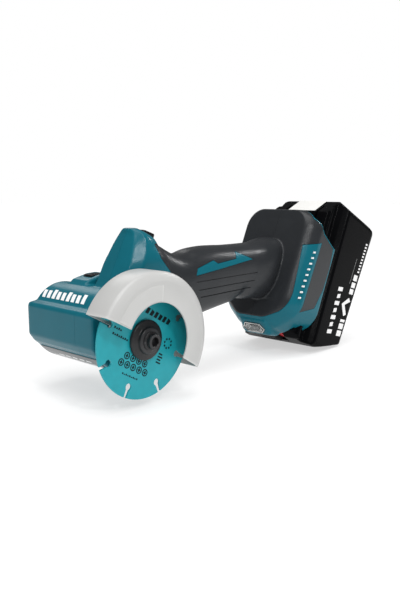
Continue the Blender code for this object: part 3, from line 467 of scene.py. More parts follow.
SLOT_FINISH = {
    "teal_plastic": TEAL, "grip_rubber": RUBBER_SKIN, "black_plastic": BLACK_PLASTIC,
    "black_gloss": BLACK_GLOSS, "red_plastic": RED, "steel": STEEL, "bearing_steel": POLISHED,
    "dark_steel": DARK_STEEL, "guard_metal": GUARD_PAINT, "disc_coating": DISC_COAT, "iron": IRON,
    "copper": COPPER, "green_board": BOARD, "aluminium_box": CAST, "lens": lens_finish(),
    "label_white": WHITE_FILM, "label_grey": SILVER_FILM, "cell_sleeve": SLEEVE,
}


# ---- outer shape of the tool
def barrel_outline():
    """The motor barrel seen from the disc: a tall round with a flat bumper at the front."""
    top = arc(0, BARREL_LIFT + BARREL_RISE, BARREL_RADIUS, 140.5, 0, 56)
    bottom = arc(0, BARREL_LIFT, BARREL_RADIUS, 0, -144, 58)
    bumper = rounded([(-21.0, -13.0, 0), (-24.6, -9.4, 2.0), (-28.0, -4.5, 2.5), (-28.0, 15.2, 1.3),
                      (-27.0, 17.4, 1.0), (-20.8, 18.3, 0.6), (-19.3, 19.9, 0)], 4)
    return top + bottom + bumper[1:-1]


def barrel(name, shrink=0.0):
    """The barrel pulled in by shrink, its far end rounded."""
    near, far = NEAR_Y + shrink, BARREL_END - shrink
    levels = [(near, 0.8), (near + 0.8, 0.0)]
    levels += [(far - BARREL_EDGE + BARREL_EDGE * math.sin(a), BARREL_EDGE * (1 - math.cos(a)))
               for a in quarter(6)]
    rings = []
    for y, d in levels:
        size = 1.0 - (shrink + d) / BARREL_RADIUS
        rings.append([(a * size, y, BARREL_LIFT + (b - BARREL_LIFT) * size) for a, b in barrel_outline()])
    return loft(name, rings)


NECK_LEVELS = (
    # z, back x, half width, front corners' x and y, back corners' x and y
    (-6.0, 50.0, 17.6, 5.0, 2.0, 12.0, 6.0),
    (20.0, 50.0, 18.0, 6.0, 3.0, 14.0, 8.0),
    (33.0, 48.0, 18.0, 8.0, 4.0, 14.0, 9.0),
    (45.0, 45.0, 17.6, 8.5, 4.5, 15.0, 11.0),
    (50.0, 42.4, 16.8, 8.5, 5.0, 16.0, 12.0),
    (55.0, 38.8, 15.6, 8.5, 5.0, 16.5, 12.6),
    (60.0, 35.2, 14.0, 7.0, 5.0, 14.0, 11.6),
    (63.6, 29.6, 11.8, 5.5, 4.5, 10.5, 9.6),
    (66.0, 25.2, 8.8, 4.0, 3.5, 7.0, 7.0),
    (67.5, 22.6, 5.4, 2.5, 2.0, 3.8, 4.0),
)


def neck_front(z):
    """How far forward the sloping front of the neck comes at a height."""
    return 1.5 + (min(max(z, 20.0), 64.5) - 33.0) / 2.11


def neck(name, shrink=0.0, levels=NECK_LEVELS):
    """The tall neck between the barrel and the handle, its back rounded."""
    rings = []
    for z, back, half, cx, cy, bx, by in levels:
        front = neck_front(z) + shrink * 1.1
        back, half = back - shrink, half - shrink
        cx, cy, bow = min(cx, 0.35 * (back - front)), min(cy, 0.5 * half), 0.07 * half
        bx, by = min(bx, 0.6 * (back - front)), min(by, 0.9 * half)
        turn = [(back - bx + bx * math.sin(a), half - by + by * math.cos(a)) for a in quarter(6)]
        outline = [(front, MID_Y + half - cy), (front - bow, MID_Y), (front, MID_Y - half + cy),
                   (front + cx, MID_Y - half), *[(a, MID_Y - b) for a, b in turn],
                   *[(a, MID_Y + b) for a, b in reversed(turn)], (front + cx, MID_Y + half)]
        drop = shrink if z > 0 else -shrink
        rings.append([in_xy(a, b, z - drop) for a, b in outline])
    return loft(name, flowing(rings, 4))


HANDLE_SECTIONS = (
    # x, top z, bottom z, half width
    (40.0, 55.5, -4.5, 16.6),
    (48.0, 51.2, -3.4, 16.8),
    (56.0, 48.0, -2.2, 17.2),
    (64.0, 48.0, -1.0, 17.4),
    (74.0, 50.3, 0.6, 17.6),
    (88.0, 51.4, 2.8, 18.0),
    (102.0, 51.2, 4.8, 18.0),
    (114.0, 50.7, 6.6, 17.8),
)
DOME_SECTIONS = (
    # s, top h, bottom h, half width
    (-80.0, -4.6, -49.5, 17.8),
    (-70.0, 0.5, -48.0, 18.4),
    (-60.0, 7.6, -44.5, 18.6),
    (-53.0, 11.2, -42.0, 18.0),
    (-46.0, 12.4, -40.0, 15.6),
    (-38.0, 12.4, -40.0, 14.0),
)


def handle(name, shrink=0.0):
    """The handle, swelling into a dome where it meets the battery holder."""
    rings = []
    for place, sections in ((in_xy, HANDLE_SECTIONS), (on_pack, DOME_SECTIONS)):
        for along, top, bottom, half in sections:
            ring = oval(MID_Y, (top + bottom) / 2, half - shrink, (top - bottom) / 2 - shrink)
            rings.append([place(along, y, up) for y, up in ring])
    return loft(name, flowing(rings, 5))


HOLDER_TOP = 42.5


def holder_outline():
    """The battery holder seen along s: square shoulders on top, a bowl below."""
    half = PACK_WIDTH / 2
    return rounded([(MID_Y - half, HOLDER_TOP, 17.0), (MID_Y - half, -46.0, 20.0),
                    (MID_Y - 17.0, -61.0, 14.0), (MID_Y + 17.0, -61.0, 14.0),
                    (MID_Y + half, -46.0, 20.0), (MID_Y + half, HOLDER_TOP, 17.0)], 10)


# how far the holder's soft front edge is drawn in: (distance behind the front, inset)
HOLDER_EASE = ((0.0, 8.2), (1.0, 6.6), (2.6, 4.9), (4.6, 3.3), (7.0, 1.9), (9.5, 0.8), (12.0, 0.0))


# the crest down the holder's front: (h, how far it stands out)
HOLDER_CREST = ((-38.0, 1.5), (5.0, 1.5), (31.0, 0.12))


def holder(name):
    """The block that holds the battery: a wide soft edge round a roof-shaped front."""
    front, outline = HOLDER_FRONT, holder_outline()
    rings = [[in_yh(*eased(y, h, d), front + step) for y, h in outline]
             for step, d in HOLDER_EASE + ((HOLDER_BACK - front, 0.0),)]
    roof = [[in_ys(MID_Y - 21.0, front, h), in_ys(MID_Y, front - rise, h), in_ys(MID_Y + 21.0, front, h),
             in_ys(MID_Y, front + 3.0, h)] for h, rise in HOLDER_CREST]
    return join(loft(name, rings), loft(name + "_roof", roof))


def eased(y, h, d):
    """A point of the holder's outline drawn in by about d, less on the far side and on top."""
    across, down = 1 - d / (PACK_WIDTH / 2), 1 - (0.35 if h > 0 else 0.6) * d / HOLDER_TOP
    return MID_Y + (y - MID_Y) * across + 0.25 * d, h * down


# the upper back corner of the holder, open where the battery's shoulder shows, as (s, h)
HOLDER_CUT = ((-38.6, 60.0), (-38.6, 35.8), (-34.0, 33.4), (-28.4, 26.4), (-9.4, 20.6), (8.0, 20.2),
              (8.0, 60.0))


def chin(name):
    """The bulge below the holder that carries the work lamp."""
    outline = rounded([(-41.6, -50.0, 0), (-42.8, -58.4, 1.5), (-31.0, -66.6, 3), (-20.0, -64.4, 6),
                       (-8.0, -56.0, 0), (-10.0, -50.0, 0)])
    return slab(name, outline, MID_Y - 15, MID_Y + 15, in_sh, edge=4.0, edge_steps=6)


def ledge(name):
    """The raised pocket on top of the barrel that holds the shaft-lock button."""
    outline = rounded([(-6.0, 20.0, 0), (-5.4, 27.8, 1.0), (0.0, 32.1, 2.0), (12.0, 34.9, 3.0),
                       (22.0, 35.2, 3.0), (22.0, 10.0, 0)])
    return slab(name, outline, 55.0, 73.6, in_xz, edge=1.6)


def master_body():
    """Barrel, neck, handle and battery holder as one skin with softened joins."""
    block = cut(holder("master_holder"), slab("master_cut", HOLDER_CUT, -60.0, 120.0, in_sh))
    whole = join(barrel("master"), neck("master_neck"), handle("master_handle"), block,
                 chin("master_chin"), ledge("master_ledge"))
    return skin_over(whole, VOXEL, 4)


# ---- zones, rooms and openings
def half_space(side):
    reach = 80.0
    lo, hi = (MID_Y - reach, MID_Y - SEAM) if side == "near" else (MID_Y + SEAM, MID_Y + reach)
    return slab("half", box_outline(-60, -90, 320, 110), lo, hi, in_xz)


def rubber_zone(g=0.0):
    """Where the rubber covers the tool, less a gap g: handle, dome, holder's front and cheeks."""
    lo, hi = MID_Y - 60.0, MID_Y + 60.0
    grip = [(28.2 + g, 57.2 - g), (30.6 + g, 51.0), (31.4 + g, 47.5), (34.4 + g, 43.8), (42.4 + g, 36.0),
            (42.4 + g, -30.0), (140.0, -30.0), (140.0, 62.0), (60.0, 62.0), (54.0, 57.2 - g)]
    front = [(-90.0, 60.0), (-90.0, -57.0 + g), (-45.0, -57.0 + g), (-42.6 - g, -48.0 + g),
             (-41.4 - g, -30.0), (-43.2 - g, 10.0 + g), (-28.6 + g, 17.6 + g),
             (-31.4 + g, -43.6 + g), (-14.0 - g, -34.6 + g), (-8.8 - g, -17.0),
             (-7.8 - g, 3.0), (-10.0 - g, 19.4 - g), (-29.0, 25.2 - g), (-34.8, 32.3 - g),
             (-39.6 - g, 34.4 - g), (-39.9 - g, 60.0)]
    return join(slab("zone", grip, lo, hi, in_xz), slab("zone_back", front, lo - 1, hi + 1, in_sh))


ACCENT = ((66.0, 32.6), (68.2, 37.4), (85.0, 41.9), (89.0, 39.3), (110.6, 41.2), (112.6, 46.4), (129.5, 39.6))


def accent(side, grow=0.0):
    """The strip of housing colour let into the grip on each side."""
    lo, hi = (MID_Y - 19.0, MID_Y - 12.0) if side == "near" else (MID_Y + 12.0, MID_Y + 19.0)
    return slab("accent", inset(ACCENT, -grow), lo, hi, in_xz)


def rails(gap):
    """Half the rails' section as (half width, s), from the block up, grown by a gap."""
    return [(27.4 + gap, -5.8), (27.4 + gap, -11.8 + gap), (30.2 + gap, -11.8 + gap),
            (30.2 + gap, -15.8 - gap), (26.4 + gap, -16.8 - gap), (25.9 + gap, PACK_TOP - gap)]


def mirrored(half_outline):
    """A closed section from one half of it, mirrored about the parting plane."""
    left = [(MID_Y - a, b) for a, b in half_outline]
    return left + [(MID_Y + a, b) for a, b in reversed(half_outline)]


def pocket():
    """The slot in the holder: the rails' own section with room round it, open along h."""
    side = rails(0.5)
    side[0] = (side[0][0], 2.0)
    return slab("pocket", mirrored(side), -90.0, 60.0, in_ys)


SLOPE = math.radians(20.0)  # how far the neck's back leans


def along_slope(a, y, d):
    """A point on the sloping top of the neck: a down the slope, d out of it."""
    d = d - 66.0
    return (32.4 + a * math.cos(SLOPE) + d * math.sin(SLOPE), y,
            62.0 - a * math.sin(SLOPE) + d * math.cos(SLOPE))


def button_outline(gap=0.0):
    return box_outline(-5.5 - gap, MID_Y - 4.5 - gap, 5.5 + gap, MID_Y + 4.5 + gap, 2.0)


LAMP_TILT = math.radians(35.0)


def on_lamp(a, y, d):
    """A point on the lamp's face: a along the face, d inwards from 6 mm outside it."""
    s = -36.5 + a * math.cos(LAMP_TILT) + (d - 6.0) * math.sin(LAMP_TILT)
    h = -62.4 - a * math.sin(LAMP_TILT) + (d - 6.0) * math.cos(LAMP_TILT)
    return on_pack(s, y, h)


def lens_outline(gap=0.0):
    reach, lo, hi = 4.9 + gap, MID_Y - 7.6 - gap, MID_Y + 7.6 + gap
    return rounded([(-reach, lo, 1), (0.6, MID_Y - 11.2 - gap, 1), (reach, lo, 1),
                    (reach, hi, 1), (0.6, MID_Y + 11.2 + gap, 1), (-reach, hi, 1)])


def rooms():
    """The hollows inside the housing."""
    skin = RUBBER + CLEAR + WALL
    return [barrel("barrel_room", WALL), neck("neck_room", skin, NECK_LEVELS[:6]),
            handle("handle_room", skin),
            slab("holder_room", mid_box(26.0, -50.0, 19.0, 8.0), HOLDER_FRONT + 5.4, -26.0, in_yh)]


BODY_SCREWS = ((25.0, 46.0, 9.5), (36.0, 12.0, 9.5), (60.0, 38.0, 6.0), (104.0, 17.0, 9.0))  # x, z, seat
HOLDER_SCREWS = ((-33.5, 22.0), (-32.5, -44.0))  # s, h
SCREWS = BODY_SCREWS + tuple((*on_pack(s, 0, h)[::2], 24.0) for s, h in HOLDER_SCREWS)


def openings(side):
    """Everything let into the housing from outside."""
    items = [slab("trigger_hole", box_outline(48.6, 25.4, 83.4, 42.6, 2.0), -12.0, 14.0, in_xy),
             slab("lock_hole", button_outline(0.5), 56.0, 76.0, along_slope), pocket(),
             slab("terminal_hole", mid_box(21.9, -8.4, 18.4, 1.5), -27.0, -15.0, in_yh),
             slab("lens_hole", lens_outline(0.3), 3.0, 12.5, on_lamp)]
    if side == "near":
        items.append(rod("nose_hole", (0, 0, 0), (0, 20, 0), 14.9, 96))
    else:
        for x, z, seat in SCREWS:
            items.append(rod("sink", (x, MID_Y + seat, z), (x, MID_Y + 45, z), 3.5, 32))
        for k in (-3, -2, 2, 3):
            slot = box_outline(k * 5.2 - 1.3, -14 + abs(k) * 1.6, k * 5.2 + 1.3, 17 - abs(k) * 1.6, 1.2)
            items.append(slab("vent", slot, 85.0, 95.0, in_xz))
        items.append(slab("button_hole", box_outline(5.4, 59.0, 17.2, 69.6, 2.0), 23.4, 45, in_xy))
        items.append(slab("button_room", box_outline(-2.4, 59.0, 7.6, 69.6), 20.4, 27.9, in_xy))
    return items


GRIP_GROOVES = (27.6, 21.6, 16.2)  # heights of the grooves along each side of the handle


def grooves(side):
    """Thin lines moulded along the sides of the handle."""
    items = []
    lo, hi = (MID_Y - 30.0, MID_Y) if side == "near" else (MID_Y, MID_Y + 30.0)
    for k, z in enumerate(GRIP_GROOVES):
        line = [(66.0 + 2 * k, z), (100.0, z + 0.7), (134.0 - 3 * k, z + 1.0),
                (134.0 - 3 * k, z + 1.6), (100.0, z + 1.5), (66.0 + 2 * k, z + 0.8)]
        items.append(cut(slab("groove", line, lo, hi, in_xz), handle("groove_floor", 0.7)))
    return items


def build_shells():
    """Teal housing halves and the rubber over them, cut from one skin."""
    master = master_body()
    for side in ("near", "far"):
        half = keep(copy(master, "half_body"), half_space(side))
        teal = cut(copy(half, "shell_" + side), rubber_zone())
        strip = keep(copy(half, "grip_strip_" + side), accent(side))
        cut(teal, *rooms(), *openings(side))
        rubber = keep(copy(half, "rubber_" + side), rubber_zone(CLEAR))
        cut(rubber, accent(side, CLEAR), *grooves(side), *rooms(), *openings(side))
        bpy.data.objects.remove(half, do_unlink=True)
        piece(teal, "tool", "teal_plastic", ["housing_" + side])
        piece(rubber, "tool", "grip_rubber", ["grip_" + side])
        piece(strip, "tool", "teal_plastic")
    bpy.data.objects.remove(master, do_unlink=True)


# ---- disc, flanges, guard
def build_disc():
    """Cutting disc with eight keyhole slots, its flanges and the clamp bolt."""
    outline = []
    pitch, neck_half = 360.0 / DISC_SLOTS, math.degrees(1.1 / DISC_RADIUS)
    for k in range(DISC_SLOTS):
        a = 18.0 + pitch * k
        for tooth in range(40):
            t = math.radians(a - pitch + neck_half + (pitch - 2 * neck_half) * tooth / 39)
            radius = DISC_RADIUS - 0.12 * (tooth % 2)
            outline.append((radius * math.cos(t), radius * math.sin(t)))
        head = (31.0 * math.cos(math.radians(a)), 31.0 * math.sin(math.radians(a)))
        outline += arc(head[0], head[1], 2.3, a - 38, a - 322, 16)
    disc = slab("disc", outline, -DISC_THICKNESS / 2, DISC_THICKNESS / 2, in_xz)
    cut(disc, rod("bore", (0, -5, 0), (0, 5, 0), 5.0, 64))
    piece(disc, "spindle", "disc_coating", ["cutting_disc"])
    outer = [(2.9, -1.2), (4.6, -1.2), (4.9, -0.9), (12.5, -0.9), (12.9, -1.2), (12.9, -2.4),
             (12.6, -2.9), (12.0, -3.3), (9.4, -3.6), (8.9, -3.9), (8.6, -4.4), (8.6, -5.4), (8.3, -5.9),
             (7.8, -6.2), (2.9, -6.2)]
    piece(turned("flange_outer", outer), "spindle", "dark_steel", ["outer_flange"])
    inner = [(4.9, 0.9), (13.0, 0.9), (13.0, 2.6), (8.2, 3.2), (6.4, 3.8), (6.4, 14.6), (4.9, 14.6)]
    piece(turned("flange_inner", inner), "spindle", "dark_steel", ["inner_flange"])
    bolt = [(0.0, -7.4), (2.5, -7.4), (2.9, -10.1), (3.2, -10.4), (4.5, -10.4), (4.8, -10.2), (4.9, -9.8),
            (4.9, -7.8), (6.0, -7.4), (6.2, -7.2), (6.2, -6.5), (2.6, -6.5), (2.6, 12.0), (0.0, 12.0)]
    piece(turned("disc_bolt", bolt), "spindle", "dark_steel", ["clamp_bolt"])


PRINT_SLANT = math.radians(-29.2)  # how the marks on the disc are turned


def on_print(u, v, y):
    """A point in the turned frame that the disc's marks are laid out in."""
    c, n = math.cos(PRINT_SLANT), math.sin(PRINT_SLANT)
    return (u * c - v * n, y, u * n + v * c)


def build_disc_prints():
    """Generic marks on the disc: two rows of rings, bars and a ring of diamonds."""
    front = -DISC_THICKNESS / 2

    def mark(outline):
        return slab("mark", outline, front - 0.06, front + 0.3, on_print)

    marks = []
    for count, u0, v in ((5, -11.9, -18.8), (4, -9.2, -13.7)):
        for k in range(count):
            u = u0 + 5.45 * k
            ring = cut(mark(circle(u, v, 2.35, 32)), slab("hole", circle(u, v, 1.65, 32), -2, 2, on_print))
            marks.append(join(ring, mark(box_outline(u - 0.5, v - 1.2, u + 0.5, v + 1.2, 0.3)),
                              mark(box_outline(u - 1.3, v - 0.4, u + 1.3, v + 0.3, 0.2))))
    for k in range(9):
        marks.append(mark(box_outline(-8.0 + 1.6 * k, -25.1, -6.9 + 1.6 * k, -24.0 - 0.4 * (k % 2), 0.2)))
    for v, u0, count in ((-1.2, -27.0, 4), (-5.0, -26.6, 8)):
        for k in range(count):
            top = v + 0.7 - 0.4 * (k % 2)
            marks.append(mark(box_outline(u0 + 1.75 * k, v - 0.8, u0 + 1.2 + 1.75 * k, top, 0.2)))
    for k in range(6):
        u, lean, top = -8.0 + 4.0 * k, 0.9, 19.4 - 0.8 * (k % 2)
        marks.append(mark([(u, 15.4), (u + 2.7, 15.4), (u + 2.7 + lean, top), (u + lean, 19.4)]))
    for k in range(8):
        a = 2 * math.pi * k / 8
        u, v = 20.2 + 3.1 * math.cos(a), 4.6 + 3.1 * math.sin(a)
        marks.append(mark([(u - 0.9, v), (u, v - 0.9), (u + 0.9, v), (u, v + 0.9)]))
    for k in range(4):
        marks.append(mark(box_outline(15.6, -10.0 + 1.9 * k, 20.0 - 0.8 * (k % 2), -9.0 + 1.9 * k, 0.2)))
    piece(merged(marks), "spindle", "dark_steel", finish=PRINT_BLACK)


def guard_profile():
    """Section of the guard as (radius, y): front wall, sloping bend, rim, back wall."""
    r, t, front, back = GUARD_RADIUS, GUARD_WALL, GUARD_FRONT, GUARD_BACK
    outer_bend = [(r - 6.4, front), (r - 5.8, front + 0.12), (r - 1.5, front + 1.9), (r - 0.6, front + 2.6),
                  (r - 0.15, front + 3.4), (r, front + 4.2)]
    inner_bend = [(r - t, front + 4.4), (r - t - 0.3, front + 3.6), (r - 5.9, front + t + 0.12),
                  (r - 6.4, front + t)]
    back_edge = [(r, back - 1.0), (r - 0.3, back - 0.3), (r - 1.0, back)]
    window = [(GUARD_WINDOW, front + t - 0.3), (GUARD_WINDOW, front + 0.3), (GUARD_WINDOW + 0.3, front)]
    return window + outer_bend + back_edge + [(15.6, back), (15.6, back - t), (r - t, back - t)] + inner_bend


def build_guard():
    """Cup-shaped guard over the upper half of the disc, on a collar round the nose."""
    guard = turned("guard_cup", guard_profile(), steps=110, start=GUARD_START, end=GUARD_END)
    collar = [(14.6, GUARD_BACK - GUARD_WALL), (18.0, GUARD_BACK - GUARD_WALL), (18.0, 14.9), (14.6, 14.9)]
    join(guard, turned("collar", collar),
         slab("clamp_ear", box_outline(14.8, -11.0, 27.0, -4.6, 1.5), 10.6, 14.9, in_xz))
    cut(guard, slab("collar_split", box_outline(12.0, -8.4, 30.0, -7.2), 10.4, 16.0, in_xz),
        rod("clamp_hole", (22.5, 12.7, -13), (22.5, 12.7, -2), 1.5))
    pad = [(GUARD_WINDOW + 0.4, GUARD_FRONT + 0.5), (GUARD_WINDOW + 0.4, GUARD_FRONT - 0.1),
           (GUARD_WINDOW + 1.0, GUARD_FRONT - 0.5), (34.6, GUARD_FRONT - 0.5), (35.6, GUARD_FRONT - 0.1),
           (35.6, GUARD_FRONT + 0.5)]
    join(guard, turned("pad", pad, steps=60, start=84.0, end=GUARD_END - 1.5))
    piece(guard, "guard", "guard_metal", ["wheel_guard"])


# ---- battery
def pack_outline():
    """The battery's section across h: block below, shoulder, neck and rails on top."""
    half = PACK_WIDTH / 2
    block = [(half - 5.0, PACK_BASE), (half - 2.6, PACK_BASE - 0.6), (half - 0.8, PACK_BASE - 2.2),
             (half, PACK_BASE - 5.0), (half, 1.0), (half - 0.8, -0.8), (32.4, -3.6)]
    return mirrored(block + rails(0.0))


def pack_side():
    """The battery's section across y, used to shape both its ends."""
    return rounded([(42.3, -50.6, 8.0), (4.0, -63.8, 6.0), (-12.0, -62.0, 3.0), (PACK_TOP - 1, -56.0, 0),
                    (PACK_TOP - 1, 48.6, 0), (PACK_TOP + 0.2, 49.6, 0), (-2.8, 66.0, 2.0), (4.0, 65.0, 4.0),
                    (51.0, 58.8, 12.0)])


def pack_plan():
    """The battery's outline seen along s, its four upright corners rounded."""
    half = PACK_WIDTH / 2
    return rounded([(MID_Y - half, -64.4, 6.0), (MID_Y + half, -64.4, 6.0), (MID_Y + half, 58.4, 5.0),
                    (MID_Y + half - 13.0, 67.4, 8.0), (MID_Y - half + 13.0, 67.4, 8.0),
                    (MID_Y - half, 58.4, 5.0)])


BLADES = (MID_Y - 17.2, MID_Y + 17.2)


def battery_block():
    """The whole battery as one softened solid, made square to its own axes and then tilted."""
    block = slab("pack", pack_outline(), -75.0, 75.0, block_ys)
    keep(block, slab("pack_ends", pack_side(), -10.0, 80.0, in_sh),
         slab("pack_sides", pack_plan(), -40.0, 60.0, in_yh))
    upright = Matrix.Rotation(-PACK_TILT, 4, "Y") @ Matrix.Translation(-Vector(on_pack(0, 0, 0)))
    block.data.transform(upright)
    skin_over(block, 0.7, 3)
    block.data.transform(upright.inverted())
    return block


def build_battery():
    """Two case halves, release button, gauge and labels."""
    block = battery_block()
    slots = [slab("blade_slot", box_outline(y - 1.0, -6.0, y + 1.0, 70.0), PACK_TOP - 3, -9.5, in_yh)
             for y in BLADES]
    cut(block, *slots,
        slab("latch_room", mid_box(14.5, -72.0, -40.0, 1.0), PACK_TOP - 3, -2.5, in_yh),
        slab("gauge_hole", mid_band(19.4, 26.6, 4.6, 1.2), -70.0, -50.0, on_pack),
        slab("cell_room", mid_box(34.2, -47.0, 54.2, 2.0), -1.0, PACK_BASE - 3.2, block_yh))
    frame_box = mid_box(60, -90, 90)
    upper = keep(copy(block, "pack_upper"), slab("above", frame_box, -60, PACK_SPLIT - SEAM, in_yh))
    lower = keep(block, slab("below", frame_box, PACK_SPLIT + SEAM, 60, in_yh))
    lower.name = "pack_lower"
    piece(upper, "battery", "black_gloss", ["battery_upper_case"])
    piece(lower, "battery", "black_gloss", ["battery_lower_case"])
    build_latch()
    build_battery_prints()


def build_latch():
    """Red latch under a black release button, and the charge gauge's button."""
    core = rounded([(-18.6, -43.0, 1), (-18.6, -57.0, 2), (-14.0, -61.0, 1.5), (-3.4, -61.0, 1),
                    (-3.4, -43.0, 1)])
    latch = slab("latch_red", core, MID_Y - 13.6, MID_Y + 13.6, in_sh, edge=0.8)
    piece(latch, "latch", "red_plastic", ["release_button"])
    cover = rounded([(-14.6, -60.4, 1), (-16.8, -63.6, 1.5), (-12.0, -65.8, 2), (-5.0, -65.2, 2),
                     (-4.2, -60.4, 1)])
    shell = slab("latch_cover", cover, MID_Y - 9.4, MID_Y + 9.4, in_sh, edge=1.4, edge_steps=4)
    ribs = [slab("rib", box_outline(-16.0, MID_Y - 6.4 + 2.8 * k, -3.0, MID_Y - 5.2 + 2.8 * k, 0.5),
                 -70.0, -65.0, on_pack) for k in range(5)]
    piece(cut(shell, *ribs), "latch", "black_plastic")
    button = slab("gauge_cap", mid_band(20.0, 26.0, 4, 1.0), -59.4, -54.0, on_pack, edge=0.6)
    piece(button, "gauge", "black_plastic", ["gauge_button"])


def on_ramp(y, a, d):
    """A point on the battery's sloping end: a up the slope, d out of it."""
    start, end = Vector((PACK_TOP + 0.2, 49.6)), Vector((-2.8, 67.0))
    along = (end - start).normalized()
    out = Vector((-along.y, along.x))
    s, h = start + along * a + out * d
    return on_pack(s, y, h)


def slanted(s, h, width, length, lean):
    """A bar along the battery's side, its ends leaning."""
    return [(s, h), (s + width, h + lean), (s + width, h + length + lean), (s, h + length)]


def side_print(name, outlines, finish=PRINT_WHITE):
    """Flat marks on the battery's near side face."""
    near = MID_Y - PACK_WIDTH / 2
    marks = [slab(name, outline, near - 0.12, near + 0.6, in_sh) for outline in outlines]
    piece(merged(marks), "battery", "label_white", finish=finish)


def build_battery_prints():
    """The white film on the sloping end and generic marks along the side."""
    film = slab("ramp_film", box_outline(MID_Y - 14.5, 1.0, MID_Y + 13.5, 21.6, 1.0), 0.1, 0.5, on_ramp,
                edge=0.1)
    piece(film, "battery", "label_white", ["battery_label"])
    bars = [slanted(14.0 + 1.2 * (k % 2), -48.0 + 6.4 * k, 7.0 - 2.4 * (k % 2), 3.6, 1.6) for k in range(7)]
    side_print("mark_bars", bars)
    blocks = [slanted(29.6 + 0.06 * (h + 46), h, 7.0, size, 1.2)
              for h, size in ((-46.0, 5.0), (-39.4, 5.0), (-33.0, 2.4))]
    blocks += [[(25.6, -18.0), (33.0, -27.0), (36.6, -24.6), (30.4, -17.4), (38.2, -12.2), (34.8, -9.6)]]
    blocks += [slanted(33.2 + 0.06 * h, h, 6.2, size, 1.0)
               for h, size in ((-6.4, 4.8), (-0.2, 4.8), (6.4, 5.4))]
    side_print("mark_blocks", blocks)
    ticks = [slanted(36.4 + 0.07 * h, h, 3.0, 1.5, 0.6) for h in range(15, 45, 3)]
    side_print("mark_ticks", ticks)
    side_print("mark_line", [[(29.4, 2.0), (29.7, 2.0), (31.0, 26.0), (30.7, 26.0)]], PRINT_GREY)


# ---- controls, lamp and fittings
def build_controls():
    """Trigger with finger grooves, lock-off button and shaft-lock button."""
    side = rounded([(49.2, 7.0, 0), (49.2, 1.0, 1.5), (54.0, -4.2, 3), (66.0, -5.8, 8), (80.0, -3.6, 4),
                    (82.8, 2.4, 1), (82.8, 7.0, 0)])
    trigger = slab("trigger_lever", side, MID_Y - 8.0, MID_Y + 8.0, in_xz, edge=2.0, edge_steps=5)
    ribs = [slab("rib", box_outline(57.0 + 3.4 * k, -9.0, 58.2 + 3.4 * k, -5.0 + 0.1 * abs(k - 2.4) ** 2,
                                    0.4), MID_Y - 6.0, MID_Y + 6.0, in_xz) for k in range(6)]
    cut(join(trigger, rod("stem", (66, MID_Y, 5), (66, MID_Y, 12), 3.0)), *ribs)
    piece(trigger, "trigger", "black_plastic", ["trigger"])

    button = slab("lock_off_cap", button_outline(), 60.0, 68.6, along_slope, edge=0.9, edge_steps=4)
    cut(button, *[slab("rib", mid_band(-3.6 + 2.2 * k, -2.8 + 2.2 * k, 3.2, 0.3), 68.1, 69.6, along_slope)
                  for k in range(4)])
    piece(button, "lock_off", "black_plastic", ["lock_off_button"])

    top = slab("shaft_lock_cap", box_outline(5.8, 59.4, 16.8, 69.2, 2.0), 26.8, 35.0, in_xy, edge=1.0,
               edge_steps=4)
    cut(top, *[slab("rib", box_outline(7.4 + 2.6 * k, 60.0, 8.4 + 2.6 * k, 68.0, 0.4), 34.6, 38.0, in_xy)
               for k in range(3)])
    join(top, rod("pin", (0.0, 66.2, 11.4), (0.0, 66.2, 27.2), 1.5, taper=0.4),
         slab("bridge", box_outline(-1.8, 64.3, 7.0, 68.1, 0.8), 23.9, 27.5, in_xy))
    cut(top, rod("spring_bore", (13.4, 64.3, 20.0), (13.4, 64.3, 30.4), 2.7))
    piece(top, "shaft_lock", "black_plastic", ["shaft_lock_button"])


def build_lamp():
    """Six-sided lens in a bezel with the bright reflector finish, and a bright reflector behind it."""
    lens = slab("lamp_window", inset(lens_outline(), 1.3), 4.4, 7.0, on_lamp, edge=0.5)
    piece(lens, "tool", "lens", ["lamp_lens"])
    bezel = slab("lamp_bezel", lens_outline(), 4.7, 8.8, on_lamp, edge=0.3)
    cut(bezel, slab("window", inset(lens_outline(), 1.2), 3.0, 12.0, on_lamp))
    piece(bezel, "tool", "lens", finish=REFLECTOR)
    cup = slab("lamp_cup", inset(lens_outline(), 1.3), 7.3, 8.9, on_lamp)
    cut(cup, *[slab("cell", box_outline(-2.4, y - 2.6, 2.4, y + 2.6, 1.5), 7.0, 8.4, on_lamp)
               for y in (MID_Y - 6.0, MID_Y, MID_Y + 6.0)])
    piece(cup, "tool", "lens", finish=REFLECTOR)


def screw(name, tip, end, shank, head, height, owner, replaces):
    """A socket-head screw from its tip to the outer face of its head."""
    tip, end = Vector(tip), Vector(end)
    out = (end - tip).normalized()
    body = rod(name, tip, end - out * 0.4, shank, taper=0.3)
    cap = rod("head", end - out * height, end, head, 48, taper=0.3)
    cut(join(body, cap), rod("socket", end - out * height * 0.6, end + out, head * 0.5, 6))
    piece(body, owner, "steel", replaces)


